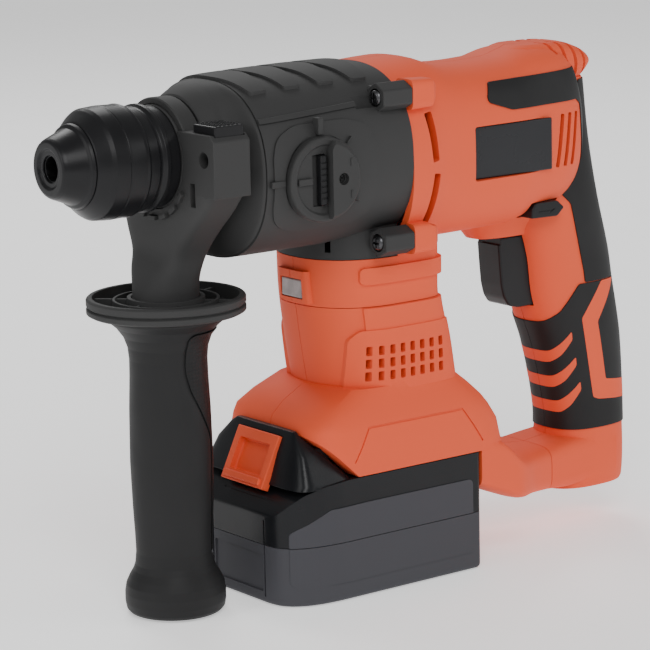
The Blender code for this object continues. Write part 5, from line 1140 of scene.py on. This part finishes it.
@dataclass
class Trim:
    """Black rubber on the D-handle, blank name plates, and the work light's lens."""

    housings: Housings
    thick: float = 0.55

    def build(self) -> None:
        """Builds and dresses the trim."""
        self.build_grip()
        self.build_inserts()
        for side in Side:
            low, high = side.span(28.6, 30.0)
            Piece(f"blank_plate_{side.word}", Shape().box((62.3, low, 167.8), (107.7, high, 190.4),
                                                          0.9)).dressed(
                Finish.PLATE, "tool", "black_nylon", [f"label_plate_{side.word}"])
        lens = Shape().box((-12.2, -7.0, 123.5), (-6.3, 7.0, 131.5), 0.7)
        Piece("lamp_lens_clear", lens).dressed(Finish.LENS, "tool", "lens", ["work_light_lens"])

    def skin(self, rows: Sequence[Section], axis: Axis, out: float, deep: float, keep: Shape) -> Piece:
        """A thin skin over a body, inside an outline."""
        skin = Piece("skin", Shape().loft([s.grown(out) for s in rows], axis, 96))
        skin.work(Cut.KEEP, keep)
        skin.work(Cut.TAKE, Shape().loft(spread_ends([s.grown(-deep) for s in rows]), axis, 96))
        return skin

    def build_grip(self) -> None:
        """The grip's rubber sleeve, with red bands that show through it."""
        rows = self.housings.grip_rows
        low, high = 44.6, 112.0
        for side in Side:
            near, far = side.span(0.15, 40.0)
            outline = [(120.0, low), (180.0, low), (180.0, 111.9), (134.0, 111.9), (131.5, 109.0),
                       (124.5, 100.0), (119.0, 96.0), (100.0, 93.0), (100.0, low)]
            rubber = self.skin(stretch_of(rows, low, 120.0), Axis.Z, self.thick, 2.0,
                               Shape().prism(outline, (near, far), Axis.Y, corner=1.0))
            rubber.obj.name = f"grip_skin_{side.word}"
            body = Piece("red_under", Shape().loft([s.grown(self.thick + 0.05) for s in stretch_of(rows, low,
                                                                                                   160.0)],
                                                   Axis.Z, 96))
            bands = Piece("bands", self.bands(side)[0])
            for band in self.bands(side)[1:]:
                bands.work(Cut.ADD, band)
            bands.work(Cut.KEEP, shape_of(body))
            stripes = bands.copy(f"grip_stripes_{side.word}")
            rubber.work(Cut.TAKE, shape_of(bands))
            stripes.work(Cut.TAKE, Shape().loft(spread_ends([s.grown(-1.8) for s in stretch_of(rows, 40.0,
                                                                                               164.0)]),
                                                Axis.Z, 96))
            rubber.dressed(Finish.RUBBER, "tool", "rubber", [f"grip_rubber_{side.word}"])
            stripes.dressed(Finish.RED, "tool", "red_housing")

    def bands(self, side: Side) -> list[Shape]:
        """Red bands: three swept up round the front of the grip, and a bent one at the back."""
        near, far = side.span(0.15, 40.0)
        made = []
        for x, z in ((122.5, 78.2), (125.2, 66.2), (128.0, 54.5)):
            outline = [(x - 12.0, z - 1.5), (x + 1.6, z - 2.0), (x + 4.6, z + 1.6), (x + 8.6, z + 8.6),
                       (x + 8.0, z + 12.4), (x + 3.2, z + 6.4), (x + 0.6, z + 3.4), (x - 12.0, z + 3.2)]
            made.append(Shape().prism(outline, (near, far), Axis.Y, corner=0.8))
        back = [(147.5, 111.8), (135.8, 96.0), (143.0, 58.8), (146.0, 57.6), (175.0, 54.5), (175.0, 62.5),
                (150.4, 66.3), (145.2, 93.4), (157.5, 111.8)]
        made.append(Shape().prism(back, (near, far), Axis.Y, corner=0.8))
        return made

    def build_inserts(self) -> None:
        """Soft black inserts along the top of the D-handle and down its back."""
        body, grip = self.housings.body_rows, self.housings.grip_rows
        for side in Side:
            near, far = side.span(0.15, 60.0)
            top = [(71.5, 202.0), (75.0, 208.2), (134.0, 209.6), (170.0, 203.4), (170.0, 160.0),
                   (139.0, 163.0),
                   (135.2, 168.5), (131.4, 193.5), (127.6, 196.0), (84.5, 196.0), (72.0, 200.0)]
            insert = self.skin(body, Axis.X, self.thick, 1.5, Shape().prism(top, (near, far), Axis.Y,
                                                                            corner=1.2))
            insert.work(Cut.TAKE, Shape().loft([s.grown(self.thick + 0.02) for s in stretch_of(grip, 100.0,
                                                                                               203.9)],
                                               Axis.Z, 96),
                        Shape().loft([s.grown(0.6) for s in softened(CAP_ROWS, 5)], Axis.Z, 64))
            insert.obj.name = f"top_insert_{side.word}"
            insert.dressed(Finish.RUBBER, "tool", "rubber")
            back = [(170.0, 203.2), (135.5, 203.2), (135.5, 167.5), (123.0, 162.0), (122.0, 155.0),
                    (128.6, 149.0),
                    (136.8, 117.0), (137.5, 112.3), (175.0, 112.3)]
            strip = self.skin(stretch_of(grip, 112.2, 203.2), Axis.Z, self.thick, 1.5,
                              Shape().prism(back, (near, far), Axis.Y, corner=1.0))
            strip.work(Cut.TAKE, Shape().loft(spread_ends([s.grown(0.02) for s in body]), Axis.X, 96))
            strip.obj.name = f"back_insert_{side.word}"
            strip.dressed(Finish.RUBBER, "tool", "rubber")


def spread_ends(rows: Sequence[Section]) -> list[Section]:
    """The same body, its two ends moved out a little, so that a cut with it goes right through."""
    first, last = rows[0], rows[-1]
    return [replace(first, place=first.place - 1.0), *rows, replace(last, place=last.place + 1.0)]


# ================================================================ controls
@dataclass
class Controls:
    """Trigger and direction switch."""

    top: float = 136.0
    bottom: float = 103.5
    half: float = 7.6

    def build(self) -> None:
        """Builds and dresses the controls."""
        outline = [(95.6, self.top), (120.4, self.top), (120.4, self.bottom), (107.5, self.bottom),
                   (101.6, 104.9), (98.9, 108.8), (97.4, 114.5), (96.5, 124.0)]
        trigger = Piece("trigger_lever", Shape().prism(outline, (-self.half, self.half), Axis.Y, 1.2, 2.4, 5))
        trigger.work(Cut.TAKE, Shape().box((92.0, -12.0, self.top - 3.3), (96.9, 12.0, self.top + 1), 0.6))
        trigger.dressed(Finish.SATIN, "trigger", "black_nylon", ["trigger"])
        bar = [(101.0, 145.9), (116.0, 145.5), (120.0, 149.0), (116.0, 152.5), (103.4, 152.5), (101.0, 149.5)]
        switch = Piece("direction_bar", Shape().prism(bar, (-23.8, 23.8), Axis.Y, 0.8, 0.7))
        for side in Side:
            low, high = side.span(23.5, 25.0)
            arrow = [(105.0, 148.4), (111.5, 148.4), (111.5, 147.5), (114.5, 149.1), (111.5, 149.1),
                     (105.0, 149.1)]
            switch.work(Cut.TAKE, Shape().prism(arrow, (low, high), Axis.Y))
        switch.dressed(Finish.SATIN, "direction_switch", "black_nylon", ["direction_switch"])


# ================================================================ side handle
@dataclass
class SideHandle:
    """The side handle: clamp band and block, strut, depth-stop button, guard and grip."""

    axis_x: float = -75.5
    chuck_z: float = 190.0
    guard_z: float = 133.0
    guard_radius: float = 32.6
    grip_radius: float = 17.0
    block_x: Point2 = (-79.8, -62.2)
    block_y: Point2 = (-43.0, -14.0)

    def build(self) -> None:
        """Builds and dresses the side handle's pieces."""
        self.build_bracket()
        self.build_button()
        self.build_guard()
        self.build_cover()

    def build_bracket(self) -> None:
        """Block, strut and band, with the depth rod's hole and the block's latch slot."""
        z, (x0, x1), x = self.chuck_z, self.block_x, self.axis_x
        half = 13.6
        block = [(self.block_y[0], z - 13.0), (self.block_y[0], z + 9.5), (self.block_y[0] + 2.5, z + 12.0),
                 (self.block_y[1], z + 12.0), (self.block_y[1], z - 13.0)]
        bracket = Piece("side_bracket", Shape().prism(block, (x0, x1), Axis.X, 0.6, 0.7))
        rows = [Section(127.3, (x - half, -half), (x + half, half)),
                Section(134.0, (x - half, -half), (x + half, half)),
                Section(142.0, (x - 10.0, -half), (x1, 17.5), 2.6),
                Section(150.0, (x0 - 1.0, -15.5), (x1, 20.5), 4.0),
                Section(159.0, (x0, -22.5), (x1, 23.5), 6.0), Section(170.0, (x0, -34.0), (x1, 26.0), 8.0),
                Section(181.0, (x0, -43.0), (x1, 24.0), 10.0)]
        band = [(-78.4, 21.3), (-78.4, 23.2), (-77.9, 23.7), (-70.6, 23.7), (-70.1, 23.2), (-70.1, 21.3)]
        bracket.work(Cut.ADD, Shape().loft(softened(rows, 5), Axis.Z, 80),
                     Shape().turned(band, Axis.X, (0, 0, z), 96))
        for number in range(7):
            tooth = Shape().box((x0 - 1.6, -2.3, z - 25.6), (x0 + 1.5, 2.3, z - 22.0), 0.3)
            bracket.work(Cut.ADD, tooth.turned_by(-54.0 + number * 18.0, Axis.X, (0, 0, z)))
        hole = (-36.0, z + 2.0)
        bracket.work(Cut.TAKE, Shape().rod((-95, 0, z), (-50, 0, z), 21.3, 96),
                     Shape().rod((-69.8, 0, z), (-50, 0, z), 30.5, 72),
                     Shape().rod((-95, 0, z), (-79.7, 0, z), 23.9, 96),
                     Shape().rod((x0 - 3, *hole), (x1 + 3, *hole), 3.2, 40),
                     Shape().box((x0 - 2, -29.4, z - 17.6), (x0 + 2.5, -26.0, z - 8.0), 0.4),
                     Shape().box((x0 + 1.9, -41.3, z + 6.6), (x1 - 1.1, -25.7, z + 14)))
        bracket.dressed(Finish.NYLON, "side_handle", "black_nylon", ["handle_bracket"])

    def build_button(self) -> None:
        """The depth-stop button with a chequered pad."""
        x0, x1, z = self.block_x[0] + 2.2, self.block_x[1] - 1.4, self.chuck_z
        button = Piece("depth_button_cap", Shape().box((x0, -41.0, z + 9.3), (x1, -26.0, z + 15.4), 0.7))
        for row in range(7):
            for column in range(6):
                x = x0 + 1.7 + column * 2.0
                y = -39.4 + row * 1.95
                button.work(Cut.ADD, Shape().rod((x, y, z + 15.0), (x, y, z + 16.0), 0.75, 8, 0.35))
        button.dressed(Finish.SATIN, "depth_button", "black_nylon", ["depth_stop_button"])

    def build_guard(self) -> None:
        """The hand guard with its double rim, rings and spokes, on the grip's hard core."""
        x, top, r = self.axis_x, self.guard_z, self.guard_radius
        floor = top - 5.6
        profile = [(6.0, 0.0), (6.0, 10.0), (top - 11.0, 10.0), (top - 8.2, 24.0), (top - 7.2, r - 1.4),
                   (top - 6.4, r), (top - 4.6, r), (top - 3.9, r - 1.1), (top - 3.2, r), (top - 0.8, r),
                   (top, r - 0.8), (top, r - 2.6), (floor, r - 3.4), (floor, 22.2), (top - 1.2, 21.8),
                   (top - 1.2, 20.6), (floor, 20.4), (floor, 16.2), (top - 0.4, 15.9), (top - 0.4, 14.1),
                   (top - 6.0, 14.1), (top - 6.0, 0.0)]
        guard = Piece("guard_core", Shape().turned(profile, Axis.Z, (x, 0, 0), 128, 0.25))
        for number in range(6):
            spoke = Shape().box((x + 15.0, -0.7, floor - 1.0), (x + r - 2.6, 0.7, top - 1.8), 0.2)
            guard.work(Cut.ADD, spoke.turned_by(15.0 + number * 60.0, Axis.Z, (x, 0, 0)))
        guard.dressed(Finish.NYLON, "side_grip", "black_nylon", ["side_grip_core"])

    def build_cover(self) -> None:
        """The grip's rubber cover, with a dimpled field edged by a groove."""
        x, top, grip = self.axis_x, self.guard_z, self.grip_radius
        outer = [(0.8, 0.0), (0.8, 19.2), (2.2, 20.4), (5.0, 20.9), (9.0, 20.9), (12.5, 20.3), (15.5, 18.9),
                 (18.4, 17.2), (21.0, 16.3), (26.0, 15.8), (34.0, 16.0), (45.0, 16.5), (64.0, 17.0),
                 (86.0, 16.6),
                 (100.0, 16.0), (107.0, 15.9), (112.0, 16.4), (116.5, 18.0), (120.5, 20.9), (123.4, 24.2),
                 (124.4, 24.8)]
        cover = Piece("side_grip_rubber", Shape().turned(
            [*outer, (124.6, 24.4), (top - 11.4, 10.3), (5.6, 10.3), (5.6, 0.0)], Axis.Z, (x, 0, 0), 128,
            0.4))
        patch = Piece("dimpled_field", Shape().turned(
            [(22.0, 9.0), *[(h, r + 0.25) for h, r in outer if 22.0 < h < 120.0], (119.0, 20.3),
             (119.0, 9.0)],
            Axis.Z, (x, 0, 0), 128))
        field_outline = [(x - 6.0, 119.0), (x + 17.0, 119.0), (x + 17.0, 24.0), (x + 8.0, 24.0),
                         (x + 8.0, 74.0),
                         (x + 2.0, 84.0), (x - 4.0, 95.0), (x - 6.0, 103.0)]
        groove = [(x - 7.0, 119.8), (x + 30.0, 119.8), (x + 30.0, 23.0), (x + 7.2, 23.0), (x + 7.2, 73.8),
                  (x + 1.2, 83.6), (x - 5.0, 94.8), (x - 7.0, 103.0)]
        cut = Shape().prism(groove, (-40.0, 0.0), Axis.Y, corner=2.0)
        cut.turned_by(14.0, Axis.Z, (x, 0, 0))
        ring = Piece("groove", Shape().turned(
            [(23.0, 25.0), (119.8, 25.0), (119.8, 20.0), *[(h, r - 0.45) for h,
                                                           r in reversed(outer) if 23 < h < 119],
             (23.0, 15.5)], Axis.Z, (x, 0, 0), 128))
        ring.work(Cut.KEEP, cut)
        cover.work(Cut.TAKE, shape_of(ring))
        keep = Shape().prism(field_outline, (-40.0, 0.0), Axis.Y, corner=2.0)
        patch.work(Cut.KEEP, keep.turned_by(14.0, Axis.Z, (x, 0, 0)))
        patch.work(Cut.TAKE, Shape().rod((x, 0, 0), (x, 0, 130), 14.5, 64))
        cover.dressed(Finish.RUBBER, "side_grip", "rubber", ["side_grip_cover"])
        patch.dressed(Finish.DIMPLES, "side_grip", "rubber")


# ================================================================ battery
@dataclass
class Battery:
    """The slide-on battery: two case halves, front cells, side panels and the release button."""

    front: float = -43.0
    rear: float = 59.0
    half: float = 37.5
    seam: float = 25.3
    deck: float = 51.5

    def plan(self, grow: float = 0.0) -> list[Point2]:
        """The pack's outline from above: a bowed front and square rear corners."""
        f, r, h = self.front - grow, self.rear + grow, self.half + grow
        half = [(f, 21.0), (f + 1.4, 27.0), (f + 5.0, 31.6), (f + 11.0, 35.0), (f + 18.0, 36.8),
                (f + 26.0, h), (r, h)]
        return [(x, -y) for x, y in half] + [(x, y) for x, y in reversed(half)]

    def build(self) -> None:
        """Builds and dresses the battery's pieces."""
        self.build_lower()
        self.build_upper()
        self.build_panels()
        self.build_button()

    def build_lower(self) -> None:
        """Lower case, open at the seam."""
        case = Piece("pack_lower", Shape().prism(self.plan(), (0.0, self.seam - 0.15), Axis.Z, 2.2, 2.0, 4))
        case.work(Cut.ADD, Shape().prism(self.plan(), (10.0, self.seam - 0.15), Axis.Z, 2.2))
        case.work(Cut.TAKE, Shape().prism(self.plan(-2.5), (2.5, self.seam + 1), Axis.Z))
        for y in (-18.4, 18.4):
            case.work(Cut.TAKE, Shape().box((self.front - 1, y - 0.5, 3.0),
                                            (self.front + 1.0, y + 0.5, 30.0)))
        case.work(Cut.TAKE, Shape().box((self.front - 1, -17.0, 5.0), (self.front + 0.7, 17.0, 21.0), 0.3))
        case.dressed(Finish.PACK, "battery", "battery_plastic", ["battery_lower_case"])
        low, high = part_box("cell_pair_1")
        middle, radius = (low[0] + high[0]) / 2 / MM, (high[0] - low[0]) / 2 / MM
        rods = [Shape().rod((middle, -29.5, base), (middle, 29.5, base), radius, 48)
                for base in (low[2] / MM + radius, high[2] / MM - radius)]
        cells = Piece("front_cells", rods[0]).work(Cut.ADD, rods[1])
        cells.dressed(Finish.CELL, "battery", "cell", ["cell_pair_1"])

    def build_upper(self) -> None:
        """Upper case with its sloping shoulders, latch tower and rails."""
        f, r, h = self.front, self.rear, self.half
        case = Piece("pack_upper", Shape().prism(self.plan(), (self.seam + 0.15, self.deck), Axis.Z, 2.2, 0.0,
                                                 4))
        side = [(f - 1, 10.0), (f - 1, 35.5), (f + 1.4, 40.0), (f + 5.2, 44.6), (f + 10.0, 47.8),
                (f + 18.0, 50.4),
                (f + 30.0, self.deck + 0.01), (r + 1, self.deck + 0.01), (r + 1, 10.0)]
        case.work(Cut.KEEP, Shape().prism(side, (-50.0, 50.0), Axis.Y, corner=2.0))
        tower = [level(49.5, f + 5.8, -7.5, 36.5, 7.0), level(51.5, f + 6.8, -7.5, 36.0, 7.0),
                 level(62.0, -32.6, -18.3, 30.6, 6.0), level(69.2, -29.3, -25.6, 23.0, 6.0),
                 level(71.2, -28.1, -25.6, 20.0, 6.0)]
        case.work(Cut.ADD, Shape().loft(tower, Axis.Z, 72),
                  Shape().box((-30.0, -28.0, self.deck - 1), (r - 1, 28.0, 64.5), 0.5))
        case.work(Cut.TAKE, Shape().prism(self.plan(-2.5), (20.0, 41.0), Axis.Z),
                  Shape().box((-20.0, -20.0, 40.0), (r - 5, 20.0, 59.5)),
                  Shape().box((-20.0, -29.0, 55.5), (r + 1, -24.0, 59.5)),
                  Shape().box((-20.0, 24.0, 55.5), (r + 1, 29.0, 59.5)),
                  self.slope_box((-0.3, 26.8), (-20.0, 2.3), 14.8))
        for y in (-18.4, 18.4):
            case.work(Cut.TAKE, Shape().box((f - 1, y - 0.5, 20.0), (f + 1.0, y + 0.5, 36.0)))
        case.dressed(Finish.PACK_DARK, "battery", "battery_plastic", ["battery_upper_case"])

    def slope_box(self, along: Point2, into: Point2, half: float, corner: float = 0.0,
                  edge: float = 0.0) -> Shape:
        """A block laid on the tower's sloping front."""
        slope = math.atan2(24, 11.5)
        down = (-math.cos(slope), -math.sin(slope))
        inward = (math.sin(slope), -math.cos(slope))
        outline = [(-29.0 + down[0] * a + inward[0] * b, 68.3 + down[1] * a + inward[1] * b)
                   for a, b in ((along[0], into[0]), (along[1], into[0]), (along[1], into[1]),
                                (along[0], into[1]))]
        return Shape().prism(outline, (-half, half), Axis.Y, corner, edge)

    def build_panels(self) -> None:
        """Raised side panels that carry on over both case halves."""
        outline = [(self.front + 4, 10.0), (self.front + 6, 8.0), (53.0, 8.0), (54.0, 9.5), (54.0, 39.0),
                   (52.5, 40.5),
                   (-2.0, 40.6), (-22.0, 40.2), (self.front + 6, 33.0), (self.front + 4, 31.5)]
        for side in Side:
            for part, low, high in (("lower", 1.0, self.seam - 0.15), ("upper", self.seam + 0.15, 45.0)):
                panel = Piece(f"side_panel_{part}_{side.word}",
                              Shape().prism(self.plan(0.45), (low, high), Axis.Z, 2.2))
                panel.work(Cut.KEEP, Shape().prism(outline, side.span(26.0, 60.0), Axis.Y, corner=2.0))
                panel.work(Cut.TAKE, Shape().prism(self.plan(-1.0), (0.0, 60.0), Axis.Z, 2.2))
                panel.dressed(Finish.PACK, "battery", "battery_plastic")

    def build_button(self) -> None:
        """The release button with its finger scoop."""
        button = Piece("release_pad", self.slope_box((0.0, 23.5), (-2.2, 2.0), 14.5, 0.5, 0.8))
        scoop = self.slope_box((4.6, 18.6), (-8.0, 1.0), 10.6, 0.9, 1.6)
        button.work(Cut.TAKE, scoop)
        button.work(Cut.ADD, self.slope_box((19.4, 22.4), (-3.4, 0.0), 12.5, 0.6, 0.8))
        button.dressed(Finish.RED_BUTTON, "release_button", "red_button", ["release_button"])


# ================================================================ inside
def dress_inside() -> None:
    """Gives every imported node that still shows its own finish."""
    steel = ("spindle_gear", "intermediate_pinion", "intermediate_gear", "intermediate_shaft", "motor_shaft",
             "wobble_hub", "wobble_ring", "piston", "striker", "beat_piece", "locking_ball",
             "spindle_bearing",
             "front_motor_bearing", "rear_motor_bearing")
    looks = {name: Finish.STEEL for name in steel}
    looks.update({"spindle": Finish.DARK_STEEL, "sleeve_spring": Finish.SPRING,
                  "trigger_spring": Finish.SPRING,
                  "rotor_core": Finish.SHEETS, "stator": Finish.WINDING, "bearing_plate": Finish.CAST,
                  "motor_plate": Finish.CAST, "motor_controller": Finish.CAST, "cooling_fan": Finish.SATIN,
                  "terminal_block": Finish.SATIN, "switch_module": Finish.SATIN, "oil_seal": Finish.RUBBER})
    for name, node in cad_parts.items():
        finish = Finish.CELL if name.startswith("cell_pair") else looks.get(name)
        if node.hide_render or finish is None:
            continue
        node.data.materials.clear()
        node.data.materials.append(finish.material())
        LOG.info("%s: %s", name, finish.value.name)


# ================================================================ studio
@dataclass
class Studio:
    """A pale floor, soft lights and the camera."""

    place: Point3 = (-719.8, -960.5, 356.4)
    azimuth: float = 37.04
    elevation: float = 11.62
    roll: float = 1.26
    lens: float = 160.5

    def build(self) -> None:
        """Builds the studio."""
        self.build_floor()
        self.build_camera()
        self.light("key", (-900, -1500, 1500), (0, 0, 120), 1100, 23)
        self.light("side", (-1700, 100, 700), (-40, 0, 120), 800, 6)
        self.light("fill", (1500, -1300, 900), (40, 0, 110), 1100, 8)
        self.light("back", (500, 1300, 1400), (20, 0, 150), 900, 12)
        world = bpy.data.worlds.new("studio")
        world.use_nodes = True
        world.node_tree.nodes["Background"].inputs["Color"].default_value = (1.0, 1.0, 1.0, 1.0)
        world.node_tree.nodes["Background"].inputs["Strength"].default_value = 0.34
        bpy.context.scene.world = world

    def build_floor(self) -> None:
        """A wide pale floor under the battery and the side handle."""
        shape = Shape()
        bmesh.ops.create_grid(shape.bm, x_segments=2, y_segments=2, size=6000.0)
        shape.moved((0.0, 0.0, -0.3))
        floor = bpy.data.objects.new("floor", shape.mesh("floor"))
        floor.data.materials.append(Finish.FLOOR.material())
        bpy.context.scene.collection.objects.link(floor)

    def build_camera(self) -> None:
        """The camera, turned by azimuth, elevation and roll."""
        data = bpy.data.cameras.new("camera")
        data.lens = self.lens
        data.sensor_width = 36.0
        data.clip_end = 20.0
        camera = bpy.data.objects.new("camera", data)
        bpy.context.scene.collection.objects.link(camera)
        a, e, r = (math.radians(v) for v in (self.azimuth, self.elevation, self.roll))
        ahead = Vector((math.sin(a) * math.cos(e), math.cos(a) * math.cos(e), -math.sin(e)))
        right = ahead.cross(Vector((0, 0, 1))).normalized()
        up = right.cross(ahead)
        right, up = right * math.cos(r) - up * math.sin(r), right * math.sin(r) + up * math.cos(r)
        turn = Matrix((right, up, -ahead)).transposed().to_4x4()
        camera.matrix_world = Matrix.Translation(Vector(self.place) * MM) @ turn
        bpy.context.scene.camera = camera

    def light(self, name: str, place: Point3, aim: Point3, size: float, power: float) -> None:
        """Adds a soft square light.

        Args:
            name: The light's name.
            place: Where it stands.
            aim: The point that it faces.
            size: The side of its square.
            power: Its power in watts.
        """
        data = bpy.data.lights.new(name, 'AREA')
        data.size = size * MM
        data.energy = power
        lamp = bpy.data.objects.new(name, data)
        away = Vector(place) - Vector(aim)
        turn = away.to_track_quat('Z', 'Y').to_matrix().to_4x4()
        lamp.matrix_world = Matrix.Translation(Vector(place) * MM) @ turn
        bpy.context.scene.collection.objects.link(lamp)


def main() -> None:
    """Builds every sub-assembly in order."""
    logging.basicConfig(level=logging.INFO, format="%(message)s")
    housings = Housings()
    builders: list[Callable[[], None]] = [
        Studio().build, Chuck().build, Gearbox().build, ModeKnob().build, housings.build,
        Trim(housings).build,
        Controls().build, SideHandle().build, Battery().build, dress_inside]
    for builder in builders:
        builder()


if __name__ == "__main__":
    main()
